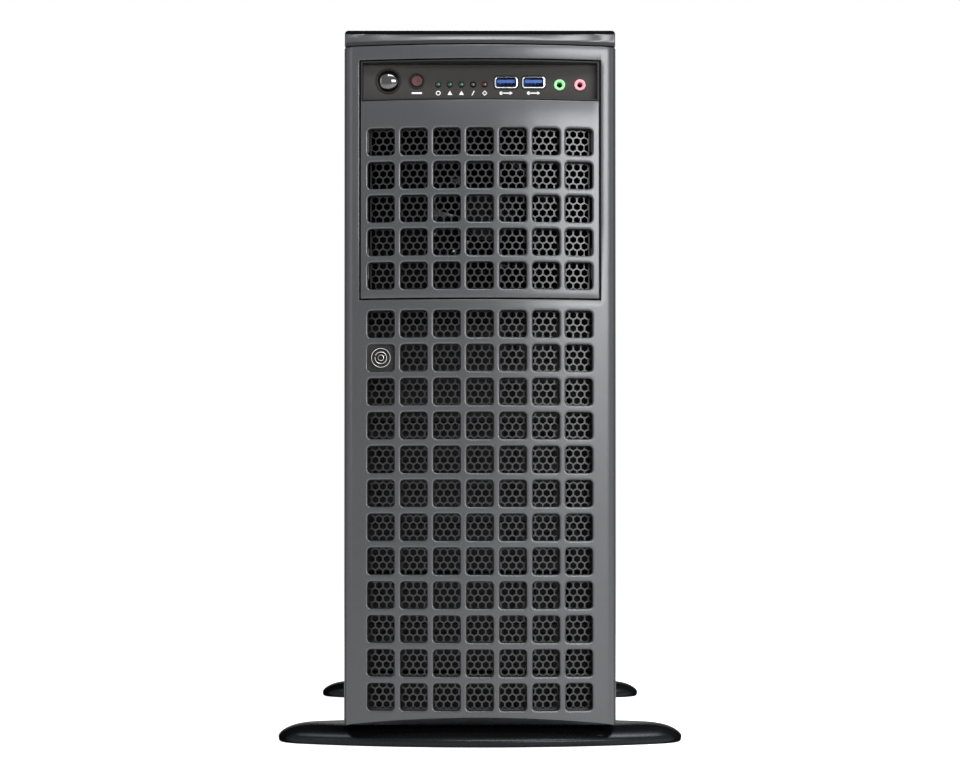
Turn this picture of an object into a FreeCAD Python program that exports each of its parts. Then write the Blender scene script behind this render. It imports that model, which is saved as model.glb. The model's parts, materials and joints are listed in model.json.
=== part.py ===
import FreeCAD, Part
import math
import os
import re
import Sketcher

# Tower server for accelerator cards, built as an assembly of separate pieces.
# Millimetres, +Z up, front towards -Y, origin on the floor under the middle of the whole.

V = FreeCAD.Vector

# Driving sizes: every one is a cell of the sheet, and all places derive from them.
SIZES = {
    # steel case on its two feet
    "case_width": 174,
    "case_height": 437,
    "case_depth": 610,
    "sheet": 1.2,
    "rear_reach": 25,
    "fit_gap": 0.2,
    "slide_gap": 0.3,
    # feet
    "foot_height": 13,
    "foot_width": 269,
    "foot_depth": 124,
    "foot_end_radius": 34,
    "foot_shoulder": 7.5,
    "front_foot_set": 24,
    "rear_foot_set": 66.5,
    "pad_radius": 9,
    "pad_height": 1.2,
    "pad_spread": 96,
    # front door shell
    "bezel_width": 177,
    "bezel_height": 440.8,
    "bezel_depth": 38,
    "bezel_radius": 361,
    "bezel_corner": 8,
    "bezel_wall": 3,
    "bezel_sill": 9,
    "bezel_lift": 1.5,
    "bezel_back": 1,
    "undercut_rise": 5.3,
    # grille openings
    "cell_size": 17.4,
    "cell_radius": 2.3,
    "cell_pitch": 21.4,
    "grille_row_pitch": 21.95,
    "cover_row_pitch": 21.75,
    "grille_rise": 19.8,
    "cover_rise": 14.6,
    "grille_margin": 2.4,
    "grille_depth": 7,
    "mesh_sheet": 1,
    # door hinge
    "hinge_inset": 4,
    "hinge_reach": 13,
    "pin_radius": 1.5,
    "run_gap": 0.05,
    "knuckle_height": 9,
    "post_depth": 7,
    "post_width": 7.5,
    # key lock
    "lock_radius": 6.3,
    "plug_radius": 4.1,
    "lock_proud": 1.8,
    "lock_length": 21,
    "cam_length": 17,
    "cam_width": 9,
    "cam_sheet": 1.5,
    "strike_reach": 15,
    # bay module with control panel
    "module_width": 155,
    "module_rise": 278,
    "module_height": 154.2,
    "module_gap": 0.9,
    "control_height": 25.4,
    "module_wall": 3,
    "panel_set": 24,
    "panel_sheet": 3,
    "board_set": 8,
    "board_sheet": 1.6,
    "power_x": -59.7,
    "power_rise": 142.4,
    "power_radius": 6.85,
    "power_travel": 2,
    "reset_x": -41.2,
    "reset_radius": 3.75,
    "reset_travel": 1.2,
    "light_x": -27.2,
    "light_pitch": 7.56,
    "light_rise": 140.2,
    "light_radius": 2,
    "usb_x": 17,
    "usb_pitch": 17.9,
    "usb_rise": 141.6,
    "usb_width": 14.4,
    "usb_height": 7.2,
    "usb_wall": 0.6,
    "jack_x": 51.8,
    "jack_pitch": 13.3,
    "jack_rise": 139.9,
    "jack_radius": 3.7,
    "jack_bore": 1.8,
    "jack_depth": 14,
    "bay_cage_depth": 190,
    # drive bay
    "cage_width": 151,
    "cage_depth": 170,
    "carrier_reach": 0.3,
    "carrier_face": 8,
    "carrier_depth": 160,
    "rail_width": 4,
    "drive_width": 101.6,
    "drive_depth": 147,
    "drive_height": 25,
    # middle fans
    "fan_wall_set": 206,
    "fan_size": 92,
    "fan_depth": 38,
    "fan_pitch": 103,
    "fan_first": 52,
    "fan_x": 6,
    "fan_hub": 20,
    "fan_tip_gap": 1.2,
    "fan_rim": 2.5,
    "shaft_radius": 1.5,
    # rear fans
    "rear_fan_size": 78,
    "rear_fan_depth": 25,
    "rear_fan_x": -32,
    "rear_fan_first": 273,
    "rear_fan_pitch": 79,
    "rear_fan_hub": 17,
    # main board and cards
    "mainboard_depth": 326,
    "mainboard_height": 380,
    "mainboard_rise": 5,
    "mainboard_set": 4,
    "standoff_height": 6.5,
    "standoff_radius": 3.5,
    "slot_pitch": 20.32,
    "slot_first": 16,
    "slot_height": 11,
    "card_length": 266,
    "card_height": 98,
    "cooler_depth": 34,
    "bracket_sheet": 0.9,
    "bracket_width": 18.4,
    "bracket_length": 112,
    "heatsink_depth": 104,
    "heatsink_width": 72,
    "heatsink_height": 104,
    "heatsink_base": 8,
    "fin_sheet": 1.6,
    "socket_height": 8,
    "memory_length": 133,
    "memory_height": 31,
    "memory_sheet": 4,
    "memory_pitch": 9,
    # ports at the back
    "port_shield_width": 46,
    "port_shield_height": 154,
    "lan_width": 16,
    "lan_height": 13.5,
    "lan_depth": 20,
    # power supplies
    "supply_width": 75,
    "supply_height": 39,
    "supply_depth": 330,
    "handle_width": 40,
    "handle_bar": 4,
    "latch_width": 8,
    "latch_reach": 12,
    "inlet_width": 27,
    "inlet_height": 19,
    "inlet_depth": 16,
    # top cap
    "cap_height": 16,
    "cap_front": 9.9,
    "cap_lip": 2.4,
    "cap_edge": 3,
    # side cover
    "lip_width": 8,
    "cover_travel": 20,
    "screw_head": 5,
    "screw_shaft": 1.5,
}

COLUMNS = 7
GRILLE_ROWS = 12
COVER_ROWS = 5
LIGHTS = 5
BAYS = 8
FANS = 4
REAR_FANS = 2
SLOTS = 11
CARDS = 4
BLADES = 7

# Places that follow from the sizes.
PLACES = {
    "case_front": "bezel_depth / 2 - case_depth / 2 - rear_reach / 2",
    "case_rear": "case_front + case_depth",
    "case_top": "foot_height + case_height",
    "floor_in": "foot_height + sheet",
    "top_in": "case_top - sheet",
    "right_in": "case_width / 2 - sheet",
    "left_in": "sheet + slide_gap - case_width / 2",
    "back_in": "case_rear - sheet",
    "crown": "case_front - bezel_depth",
    "bulge": "bezel_radius - sqrt(bezel_radius ^ 2 - bezel_width ^ 2 / 4)",
    "side_plane": "crown + bulge",
    "bezel_bottom": "foot_height + bezel_lift",
    "bezel_top": "bezel_bottom + bezel_height",
    "sill_top": "bezel_bottom + bezel_sill",
    "lintel": "bezel_top - bezel_wall",
    "cell_span": "6 * cell_pitch + cell_size",
    "grille_half": "module_half + module_gap",
    "mesh_half": "cell_span / 2 + grille_margin + 2",
    "grille_low": "foot_height + grille_rise",
    "grille_bottom": "grille_low - cell_size / 2 - grille_margin",
    "grille_top": "grille_low + 11 * grille_row_pitch + cell_size / 2 + grille_margin",
    "hinge_x": "bezel_width / 2 - hinge_inset",
    "hinge_y": "case_front - hinge_reach",
    "knuckle_low": "sill_top + 0.4",
    "knuckle_high": "lintel - 0.4 - knuckle_height",
    "lock_x": "-3 * cell_pitch",
    "lock_z": "grille_low + 10 * grille_row_pitch",
    "lock_face": "crown + bezel_radius - sqrt(bezel_radius ^ 2 - lock_x ^ 2)",
    "lock_front": "lock_face - lock_proud",
    "lock_back": "lock_front + lock_length",
    "plate_back": "lock_face + grille_depth + 1",
    "module_bottom": "foot_height + module_rise",
    "module_top": "module_bottom + module_height",
    "module_half": "module_width / 2",
    "control_bottom": "module_top - control_height",
    "cover_top": "control_bottom - slide_gap",
    "cover_low": "module_bottom + cover_rise",
    "cover_back_radius": "bezel_radius - grille_depth",
    "seat_radius": "cover_back_radius - slide_gap",
    "seat_crown": "crown + grille_depth + slide_gap",
    "bay_half": "module_half - module_wall",
    "bay_bottom": "module_bottom + module_wall",
    "bay_top": "control_bottom - module_wall",
    "bay_bow": "bezel_radius - sqrt(bezel_radius ^ 2 - bay_half ^ 2)",
    "tab_back": "crown + grille_depth + bay_bow + 12",
    "panel_front": "case_front - panel_set",
    "panel_back": "panel_front + panel_sheet",
    "panel_half": "module_half - 1.2 - fit_gap",
    "panel_bottom": "control_bottom + 0.8 + fit_gap",
    "panel_top": "module_top - 0.8 - fit_gap",
    "board_front": "case_front - board_set",
    "power_z": "module_bottom + power_rise",
    "light_z": "module_bottom + light_rise",
    "usb_z": "module_bottom + usb_rise",
    "jack_z": "module_bottom + jack_rise",
    "cage_top": "module_bottom - 12",
    "cage_front": "case_front + sheet",
    "bay_pitch": "(cage_top - floor_in - 2 * sheet) / 8",
    "bay_floor": "floor_in + sheet",
    "cage_in": "cage_width / 2 - sheet",
    "carrier_half": "cage_in - slide_gap",
    "carrier_height": "bay_pitch - sheet - 2 * slide_gap",
    "fan_wall": "case_front + fan_wall_set",
    "fan_front": "fan_wall + sheet",
    "fan_low": "foot_height + fan_first",
    "rear_fan_front": "back_in - rear_fan_depth",
    "rear_fan_low": "foot_height + rear_fan_first",
    "mainboard_back": "right_in - standoff_height",
    "mainboard_face": "mainboard_back - board_sheet",
    "mainboard_front": "back_in - mainboard_set - mainboard_depth",
    "mainboard_bottom": "floor_in + mainboard_rise",
    "slot_low": "floor_in + slot_first",
    "slot_top": "mainboard_face - slot_height",
    "bracket_front": "back_in - bracket_sheet",
    "heatsink_low": "slot_low + 10.5 * slot_pitch + 76",
    "supply_floor": "top_in - supply_height - 2 * slide_gap",
    "shelf_bottom": "supply_floor - sheet",
    "supply_front": "case_rear - supply_depth",
    "supply_left": "right_in - 3 - 2 * supply_width - sheet - 4 * slide_gap",
    "shield_low": "slot_low + 10.5 * slot_pitch + 6",
    "cap_bottom": "case_top + cap_height - cap_front",
    "cap_top": "case_top + cap_height",
    "front_foot_y": "case_front + front_foot_set",
    "rear_foot_y": "case_rear - rear_foot_set",
}

doc = FreeCAD.newDocument("tower_server")
sheet = doc.addObject("Spreadsheet::Sheet", "Sizes")
for row, (alias, number) in enumerate(SIZES.items(), start=1):
    sheet.set("A%d" % row, alias)
    sheet.set("B%d" % row, str(number))
    sheet.setAlias("B%d" % row, alias)
doc.recompute()

nodes = []


# Formulas

def expr(text):
    """Opens derived places up and puts the sheet's name before each size."""
    def swap(match):
        word = match.group(0)
        if word in PLACES:
            return "(" + expr(PLACES[word]) + ")"
        if word in SIZES:
            return "Sizes." + word
        return word
    return re.sub(r"[a-z][a-z_]*", swap, text)


def val(text):
    """Value of a formula at the sheet's present sizes."""
    return float(sheet.evalExpression(expr(text)))


def bind(target, prop, text):
    """Ties one property to a formula."""
    target.setExpression(prop, expr(text))


def place(target, at, turn=None):
    """Turns an object, then ties its place to three formulas."""
    if turn is not None:
        target.Placement = FreeCAD.Placement(V(0, 0, 0), turn)
    for key, text in zip("xyz", at):
        bind(target, "Placement.Base." + key, text)


# Primitives and booleans

AXES = {"x": V(1, 0, 0), "y": V(0, 1, 0), "z": V(0, 0, 1)}


def box(name, low, size):
    """Block from its low corner and its three sizes."""
    block = doc.addObject("Part::Box", name)
    for prop, text in zip(("Length", "Width", "Height"), size):
        bind(block, prop, text)
    place(block, low)
    return block


def rod(name, radius, length, at, axis="y"):
    """Cylinder that runs from a point along +X, +Y or +Z."""
    bar = doc.addObject("Part::Cylinder", name)
    bind(bar, "Radius", radius)
    bind(bar, "Height", length)
    place(bar, at, FreeCAD.Rotation(V(0, 0, 1), AXES[axis]))
    return bar


def join(name, pieces):
    """One solid of several."""
    whole = doc.addObject("Part::MultiFuse", name)
    whole.Shapes = pieces
    whole.Refine = True
    return whole


def cut(name, base, tools):
    """A solid less one or more tools."""
    tool = tools[0]
    if len(tools) > 1:
        tool = doc.addObject("Part::Compound", name + "_tools")
        tool.Links = tools
    rest = doc.addObject("Part::Cut", name)
    rest.Base = base
    rest.Tool = tool
    rest.Refine = True
    return rest


def group(name, pieces):
    """Alike pieces that share one node."""
    several = doc.addObject("Part::Compound", name)
    several.Links = pieces
    return several


def keep(node, label):
    """Names a finished piece as a node of the assembly."""
    node.Label = label
    nodes.append(node)
    return node


# Bodies and sketches

def datum(body, role):
    """Origin plane or axis of a body."""
    return [item for item in body.Origin.OriginFeatures if item.Role == role][0]


def new_body(name):
    """Body of its own for one piece."""
    return doc.addObject("PartDesign::Body", name)


def sketch(body, plane, offset):
    """Sketch on an origin plane, set off along that plane's normal."""
    drawn = body.newObject("Sketcher::SketchObject", body.Name + "_sketch")
    drawn.AttachmentSupport = [(datum(body, plane + "_Plane"), "")]
    drawn.MapMode = "FlatFace"
    bind(drawn, "AttachmentOffset.Base.z", offset)
    return drawn


def rule(drawn, kind, refs, text):
    """Dimension tied to a formula."""
    index = drawn.addConstraint(Sketcher.Constraint(kind, *refs, val(text)))
    drawn.renameConstraint(index, "size_%d" % index)
    bind(drawn, "Constraints.size_%d" % index, text)


def pin_point(drawn, geometry, end, x, y):
    """Ties a point of the sketch to two formulas."""
    rule(drawn, "DistanceX", (-1, 1, geometry, end), x)
    rule(drawn, "DistanceY", (-1, 1, geometry, end), y)


def polygon(drawn, points):
    """Closed outline through points given as formulas."""
    spots = [V(val(x), val(y), 0) for x, y in points]
    count = len(points)
    first = drawn.GeometryCount
    for i in range(count):
        drawn.addGeometry(Part.LineSegment(spots[i], spots[(i + 1) % count]), False)
    for i in range(count):
        drawn.addConstraint(Sketcher.Constraint("Coincident", first + i, 2, first + (i + 1) % count, 1))
    for i, (x, y) in enumerate(points):
        pin_point(drawn, first + i, 1, x, y)


def oblong(drawn, left, low, right, high):
    """Rectangle between four formulas."""
    polygon(drawn, [(left, low), (right, low), (right, high), (left, high)])


def ring(drawn, x, y, radius):
    """Full circle."""
    index = drawn.addGeometry(Part.Circle(V(val(x), val(y), 0), V(0, 0, 1), val(radius)), False)
    rule(drawn, "Radius", (index,), radius)
    pin_point(drawn, index, 3, x, y)


def rounded(drawn, x, y, side, radius):
    """Square with rounded corners about a middle point."""
    half = val(side) / 2
    curve = val(radius)
    middle = V(val(x), val(y), 0)
    corners = [(1, -1), (1, 1), (-1, 1), (-1, -1)]
    first = drawn.GeometryCount
    for i, (sx, sy) in enumerate(corners):
        hub = middle + V(sx * (half - curve), sy * (half - curve), 0)
        start = math.radians(-90 + 90 * i)
        circle = Part.Circle(hub, V(0, 0, 1), curve)
        drawn.addGeometry(Part.ArcOfCircle(circle, start, start + math.pi / 2), False)
    for i in range(4):
        ends = drawn.getPoint(first + i, 2), drawn.getPoint(first + (i + 1) % 4, 1)
        drawn.addGeometry(Part.LineSegment(*ends), False)
    for i in range(4):
        drawn.addConstraint(Sketcher.Constraint("Tangent", first + i, 2, first + 4 + i, 1))
        drawn.addConstraint(Sketcher.Constraint("Tangent", first + 4 + i, 2, first + (i + 1) % 4, 1))
    for i in range(1, 4):
        drawn.addConstraint(Sketcher.Constraint("Equal", first, first + i))
    for i, kind in enumerate(("Vertical", "Horizontal", "Vertical", "Horizontal")):
        drawn.addConstraint(Sketcher.Constraint(kind, first + 4 + i))
    rule(drawn, "Radius", (first,), radius)
    inset = "((" + side + ") / 2 - " + radius + ")"
    pin_point(drawn, first + 1, 3, x + " + " + inset, y + " + " + inset)
    pin_point(drawn, first + 3, 3, x + " - " + inset, y + " - " + inset)


def bow_arc(drawn, half, crown, radius):
    """Arc that bows towards -Y, with its middle on the sketch's Y axis."""
    reach = val(radius)
    hub = V(0, val(crown) + reach, 0)
    swing = math.asin(val(half) / reach)
    arc = Part.ArcOfCircle(Part.Circle(hub, V(0, 0, 1), reach), -math.pi / 2 - swing, -math.pi / 2 + swing)
    index = drawn.addGeometry(arc, False)
    rule(drawn, "Radius", (index,), radius)
    drawn.addConstraint(Sketcher.Constraint("PointOnObject", index, 3, -2))
    rule(drawn, "DistanceY", (-1, 1, index, 3), crown + " + " + radius)
    rule(drawn, "DistanceX", (-1, 1, index, 1), "-(" + half + ")")
    rule(drawn, "DistanceX", (-1, 1, index, 2), half)
    return index


def bow_front(drawn, half, crown, radius, back):
    """Plan of a block with a bowed front and straight sides and back."""
    arc = bow_arc(drawn, half, crown, radius)
    width = val(half)
    rear = val(back)
    left = drawn.getPoint(arc, 1)
    right = drawn.getPoint(arc, 2)
    path = [right, V(width, rear, 0), V(-width, rear, 0), left]
    for i in range(3):
        drawn.addGeometry(Part.LineSegment(path[i], path[i + 1]), False)
    drawn.addConstraint(Sketcher.Constraint("Coincident", arc, 2, arc + 1, 1))
    drawn.addConstraint(Sketcher.Constraint("Coincident", arc + 1, 2, arc + 2, 1))
    drawn.addConstraint(Sketcher.Constraint("Coincident", arc + 2, 2, arc + 3, 1))
    drawn.addConstraint(Sketcher.Constraint("Coincident", arc + 3, 2, arc, 1))
    pin_point(drawn, arc + 2, 1, half, back)
    pin_point(drawn, arc + 2, 2, "-(" + half + ")", back)


def bow_plate(drawn, half, crown, radius, depth):
    """Plan of a bowed plate of even thickness."""
    front = bow_arc(drawn, half, crown, radius)
    back = bow_arc(drawn, half, crown + " + " + depth, radius + " - " + depth)
    sides = ((2, front, back), (1, back, front))
    for end, start, stop in sides:
        drawn.addGeometry(Part.LineSegment(drawn.getPoint(start, end), drawn.getPoint(stop, end)), False)
    for i, (end, start, stop) in enumerate(sides):
        drawn.addConstraint(Sketcher.Constraint("Coincident", back + 1 + i, 1, start, end))
        drawn.addConstraint(Sketcher.Constraint("Coincident", back + 1 + i, 2, stop, end))


def oval(drawn, width, depth, end_radius):
    """Four-arc oval about the sketch's origin: bowed long sides and round ends."""
    reach = val(end_radius)
    run = val(width) / 2 - reach
    rise = val(depth) / 2 - reach
    set_back = (run ** 2 - rise ** 2) / (2 * rise)
    long_radius = set_back + val(depth) / 2
    lean = math.atan2(run, set_back)
    quarter = math.pi / 2
    arcs = [
        (V(run, 0, 0), reach, lean - quarter, quarter - lean),
        (V(0, -set_back, 0), long_radius, quarter - lean, quarter + lean),
        (V(-run, 0, 0), reach, quarter + lean, 3 * quarter - lean),
        (V(0, set_back, 0), long_radius, 3 * quarter - lean, 3 * quarter + lean),
    ]
    for hub, radius, start, stop in arcs:
        drawn.addGeometry(Part.ArcOfCircle(Part.Circle(hub, V(0, 0, 1), radius), start, stop), False)
    for i in range(4):
        drawn.addConstraint(Sketcher.Constraint("Tangent", i, 2, (i + 1) % 4, 1))
    for i in (0, 2):
        drawn.addConstraint(Sketcher.Constraint("PointOnObject", i, 3, -1))
        rule(drawn, "Radius", (i,), end_radius)
    rule(drawn, "DistanceX", (-1, 1, 0, 3), width + " / 2 - " + end_radius)
    rule(drawn, "DistanceX", (-1, 1, 2, 3), end_radius + " - " + width + " / 2")
    drawn.addConstraint(Sketcher.Constraint("Equal", 1, 3))
    half = "(" + depth + " / 2)"
    rise_text = "(" + half + " - " + end_radius + ")"
    run_text = "(" + width + " / 2 - " + end_radius + ")"
    rule(drawn, "Radius", (1,), "(%s ^ 2 - %s ^ 2) / (2 * %s) + %s" % (run_text, rise_text, rise_text, half))


def pad(body, drawn, length, flip=False):
    """Adds the sketch's area, drawn out along its normal or, flipped, against it."""
    feature = body.newObject("PartDesign::Pad", body.Name + "_pad")
    feature.Profile = drawn
    feature.Reversed = flip
    bind(feature, "Length", length)
    body.Tip = feature
    return feature


def pocket(body, drawn, length=None, flip=False):
    """Takes the sketch's area out against its normal or, flipped, along it."""
    feature = body.newObject("PartDesign::Pocket", body.Name + "_pocket")
    feature.Profile = drawn
    feature.Reversed = flip
    if length is None:
        feature.Type = "ThroughAll"
    else:
        bind(feature, "Length", length)
    body.Tip = feature
    return feature


def spin(body, drawn, axis="Y_Axis"):
    """Turns the sketch's area right round one of the body's axes."""
    feature = body.newObject("PartDesign::Revolution", body.Name + "_turn")
    feature.Profile = drawn
    feature.ReferenceAxis = (datum(body, axis), [""])
    feature.Angle = 360
    body.Tip = feature
    return feature


def spread(body, feature, runs):
    """Repeats a feature in rows: each run is an axis, a count and a pitch."""
    rows = []
    several = body.newObject("PartDesign::MultiTransform", body.Name + "_rows")
    several.Originals = [feature]
    for axis, count, pitch in runs:
        row = body.newObject("PartDesign::LinearPattern", body.Name + "_row")
        row.Direction = (datum(body, axis), [""])
        row.Occurrences = count
        bind(row, "Length", "%d * %s" % (count - 1, pitch))
        rows.append(row)
    several.Transformations = rows
    body.Tip = several
    return several


def soften(body, kind, choose, size):
    """Fillets or chamfers the edges that a test picks."""
    doc.recompute()
    base = body.Tip
    names = ["Edge%d" % (i + 1) for i, edge in enumerate(base.Shape.Edges) if choose(edge)]
    feature = body.newObject("PartDesign::" + kind, body.Name + "_edges")
    feature.Base = (base, names)
    bind(feature, "Radius" if kind == "Fillet" else "Size", size)
    body.Tip = feature
    return feature


def upright(edge):
    """True for a straight vertical edge."""
    return edge.Curve.TypeId == "Part::GeomLine" and abs(edge.tangentAt(edge.FirstParameter).z) > 0.99


# Case: folded tray of floor, right wall and top

tray = new_body("tray")
profile = sketch(tray, "XZ", "-(case_front)")
polygon(profile, [
    ("left_in", "foot_height"), ("case_width / 2", "foot_height"), ("case_width / 2", "case_top"),
    ("left_in", "case_top"), ("left_in", "top_in"), ("right_in", "top_in"),
    ("right_in", "floor_in"), ("left_in", "floor_in"),
])
pad(tray, profile, "case_depth", flip=True)
keep(tray, "chassis_tray")


# Front frame: plate with a window for each cage, and the strike for the lock, a web and a lip welded on

frame_plate = box("frame_plate", ("left_in", "case_front", "floor_in"),
                  ("right_in - left_in", "sheet", "top_in - floor_in"))
drive_window = box("drive_window", ("-(cage_in)", "case_front - 1", "bay_floor"),
                   ("2 * cage_in", "sheet + 2", "8 * bay_pitch"))
bay_window = box("bay_window", ("-(bay_half)", "case_front - 1", "bay_bottom"),
                 ("2 * bay_half", "sheet + 2", "bay_top - bay_bottom"))
strike_web = box("strike_web", ("left_in + 1", "case_front - strike_reach", "lock_z - cam_width / 2 - 2"),
                 ("sheet", "strike_reach", "cam_width + 4"))
strike_lip = box("strike_lip", ("left_in + 1 + sheet", "case_front - strike_reach",
                                "lock_z - cam_width / 2 - 2"),
                 ("lock_x - 10 - left_in - sheet", "sheet", "cam_width + 4"))
front_plate = cut("front_plate", frame_plate, [drive_window, bay_window])
keep(group("front_weldment", [front_plate, strike_web, strike_lip]), "front_frame")


# Rear panel: windows for supplies, ports, cards and fans

rear = new_body("rear")
profile = sketch(rear, "XZ", "-(back_in)")
oblong(profile, "left_in", "floor_in", "right_in", "top_in")
pad(rear, profile, "sheet", flip=True)
profile = sketch(rear, "XZ", "1 - back_in")
oblong(profile, "supply_left", "supply_floor", "right_in - 3", "top_in + 1")
oblong(profile, "mainboard_face - port_shield_width + 2", "shield_low + 2",
       "mainboard_face + fit_gap", "shield_low + port_shield_height - 2")
for i in range(REAR_FANS):
    ring(profile, "rear_fan_x", "rear_fan_low + %d * rear_fan_pitch" % i, "rear_fan_size / 2 - fan_rim")
pocket(rear, profile, "sheet + 2")
profile = sketch(rear, "XZ", "1 - back_in")
oblong(profile, "mainboard_face - bracket_length + 6", "slot_low - 6", "mainboard_face - 12", "slot_low + 6")
slot_hole = pocket(rear, profile, "sheet + 2")
spread(rear, slot_hole, [("Z_Axis", SLOTS, "slot_pitch")])
profile = sketch(rear, "XZ", "1 - back_in")
for rise in ("case_top - 62", "foot_height + 62"):
    ring(profile, "left_in + 7", rise, "screw_shaft + fit_gap")
pocket(rear, profile, "sheet + 2")
keep(rear, "rear_panel")


# Fan wall: upright plate with one round hole for each middle fan

wall = new_body("wall")
profile = sketch(wall, "XZ", "-(fan_wall)")
oblong(profile, "left_in + lip_width + 5", "floor_in", "right_in", "top_in")
pad(wall, profile, "sheet", flip=True)
profile = sketch(wall, "XZ", "1 - fan_wall")
ring(profile, "fan_x", "fan_low", "fan_size / 2 - fan_rim")
fan_hole = pocket(wall, profile, "sheet + 2")
spread(wall, fan_hole, [("Z_Axis", FANS, "fan_pitch")])
keep(wall, "fan_wall")


# Side cover: panel with two folded lips and two tabs behind the rear panel, and its thumbscrews

panel = box("cover_sheet", ("-case_width / 2", "case_front", "foot_height + slide_gap"),
            ("sheet", "case_depth + sheet", "case_height - 2 * slide_gap"))
lips = [
    box("cover_lip", ("sheet / 2 - case_width / 2", "case_front + 6", low),
        ("lip_width", "case_depth - 10 - cover_travel", "sheet"))
    for low in ("floor_in + slide_gap", "top_in - slide_gap - sheet")
]
tabs = [
    box("cover_tab", ("-case_width / 2", "case_rear", low + " - 9"), ("lip_width + 8", "sheet", "18"))
    for low in ("case_top - 62", "foot_height + 62")
]
tab_holes = [
    rod("tab_hole", "screw_shaft + fit_gap", "sheet + 2", ("left_in + 7", "case_rear - 1", rise))
    for rise in ("case_top - 62", "foot_height + 62")
]
keep(cut("cover_panel", join("cover_folds", [panel] + lips + tabs), tab_holes), "side_cover")

screws = []
for rise in ("case_top - 62", "foot_height + 62"):
    head = rod("screw_knob", "screw_head", "9", ("left_in + 7", "case_rear + sheet", rise))
    shaft = rod("screw_stem", "screw_shaft", "8", ("left_in + 7", "case_rear - 6", rise))
    screws.append(join("thumbscrew", [head, shaft]))
keep(group("screw_pair", screws), "cover_thumbscrews")


# Top cap: bowed plate over the door, thick plate over the case, slanted front

cap = new_body("cap")
profile = sketch(cap, "XY", "cap_bottom")
bow_front(profile, "case_width / 2", "crown", "bezel_radius", "case_rear")
pad(cap, profile, "cap_front")
profile = sketch(cap, "XY", "case_top")
oblong(profile, "-case_width / 2", "case_front", "case_width / 2", "case_rear")
pad(cap, profile, "cap_height - cap_front + 1")
top_height = val("cap_top")
half_width = val("case_width / 2")
soften(cap, "Fillet", lambda edge: abs(edge.CenterOfMass.z - top_height) < 0.01
       and abs(abs(edge.CenterOfMass.x) - half_width) < 0.01, "cap_edge")
profile = sketch(cap, "YZ", "0 - case_width")
polygon(profile, [("side_plane", "cap_top"), ("crown", "cap_bottom + cap_lip"),
                  ("crown - 5", "cap_bottom + cap_lip"), ("crown - 5", "cap_top + 5"),
                  ("side_plane", "cap_top + 5")])
pocket(cap, profile, "2 * case_width", flip=True)
keep(cap, "top_cap")


# Feet: bowed oval plates with rounded shoulders, each on four rubber pads

for name, middle in (("front_foot", "front_foot_y"), ("rear_foot", "rear_foot_y")):
    foot = new_body(name + "_body")
    profile = sketch(foot, "XY", "pad_height")
    oval(profile, "foot_width", "foot_depth", "foot_end_radius")
    pad(foot, profile, "foot_height - pad_height")
    foot_top = val("foot_height")
    soften(foot, "Fillet", lambda edge: abs(edge.BoundBox.ZMin - foot_top) < 0.01, "foot_shoulder")
    place(foot, ("0", middle, "0"))
    keep(foot, name)

pads = []
for middle in ("front_foot_y", "rear_foot_y"):
    for side in ("-", ""):
        for way in ("-", "+"):
            pads.append(rod("pad", "pad_radius", "pad_height",
                            (side + "pad_spread", middle + way + "foot_depth / 5", "0"), "z"))
keep(group("pads", pads), "foot_pads")


# Door shell: bowed tray with rounded uprights, undercut sill, two windows and room for the hinge

bezel = new_body("bezel")
profile = sketch(bezel, "XY", "bezel_bottom")
bow_front(profile, "bezel_width / 2", "crown", "bezel_radius", "case_front - bezel_back")
pad(bezel, profile, "bezel_height")
front_line = val("side_plane")
soften(bezel, "Fillet", lambda edge: upright(edge) and edge.CenterOfMass.y < front_line + 1, "bezel_corner")
profile = sketch(bezel, "XY", "sill_top")
bow_front(profile, "bezel_width / 2 - bezel_wall", "crown + bezel_wall",
          "bezel_radius - bezel_wall", "case_front + 1")
pocket(bezel, profile, "lintel - sill_top", flip=True)
profile = sketch(bezel, "XY", "bezel_bottom - 1")
oblong(profile, "bezel_wall - bezel_width / 2", "hinge_y - 8", "hinge_x - hinge_inset", "case_front + 1")
pocket(bezel, profile, "bezel_sill + 2", flip=True)
profile = sketch(bezel, "XZ", "5 - crown")
oblong(profile, "-(module_half + module_gap)", "module_bottom - module_gap",
       "module_half + module_gap", "module_top + module_gap")
oblong(profile, "-(grille_half)", "grille_bottom", "grille_half", "grille_top")
pocket(bezel, profile, "bezel_depth + 10")
profile = sketch(bezel, "YZ", "0 - bezel_width")
polygon(profile, [("side_plane", "bezel_bottom"), ("side_plane", "bezel_bottom - 5"),
                  ("crown - 5", "bezel_bottom - 5"), ("crown - 5", "bezel_bottom + undercut_rise"),
                  ("crown", "bezel_bottom + undercut_rise")])
pocket(bezel, profile, "2 * bezel_width", flip=True)
profile = sketch(bezel, "XY", "bezel_bottom - 1")
oblong(profile, "hinge_x - hinge_inset - 1", "hinge_y + hinge_inset - 0.5",
       "bezel_width / 2 + 5", "case_front + 5")
pocket(bezel, profile, "bezel_height + 2", flip=True)
profile = sketch(bezel, "YZ", "bezel_width / 2 - bezel_wall - 2")
for low, high in (("sill_top", "knuckle_low + knuckle_height + 1.6"), ("knuckle_high - 1.6", "lintel")):
    oblong(profile, "hinge_y - hinge_inset - 1", low, "case_front", high)
pocket(bezel, profile, "bezel_wall + 6", flip=True)
keep(bezel, "bezel_frame")


# Door grille: bowed plate with twelve rows of openings, one of them closed by the lock plate

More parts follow.
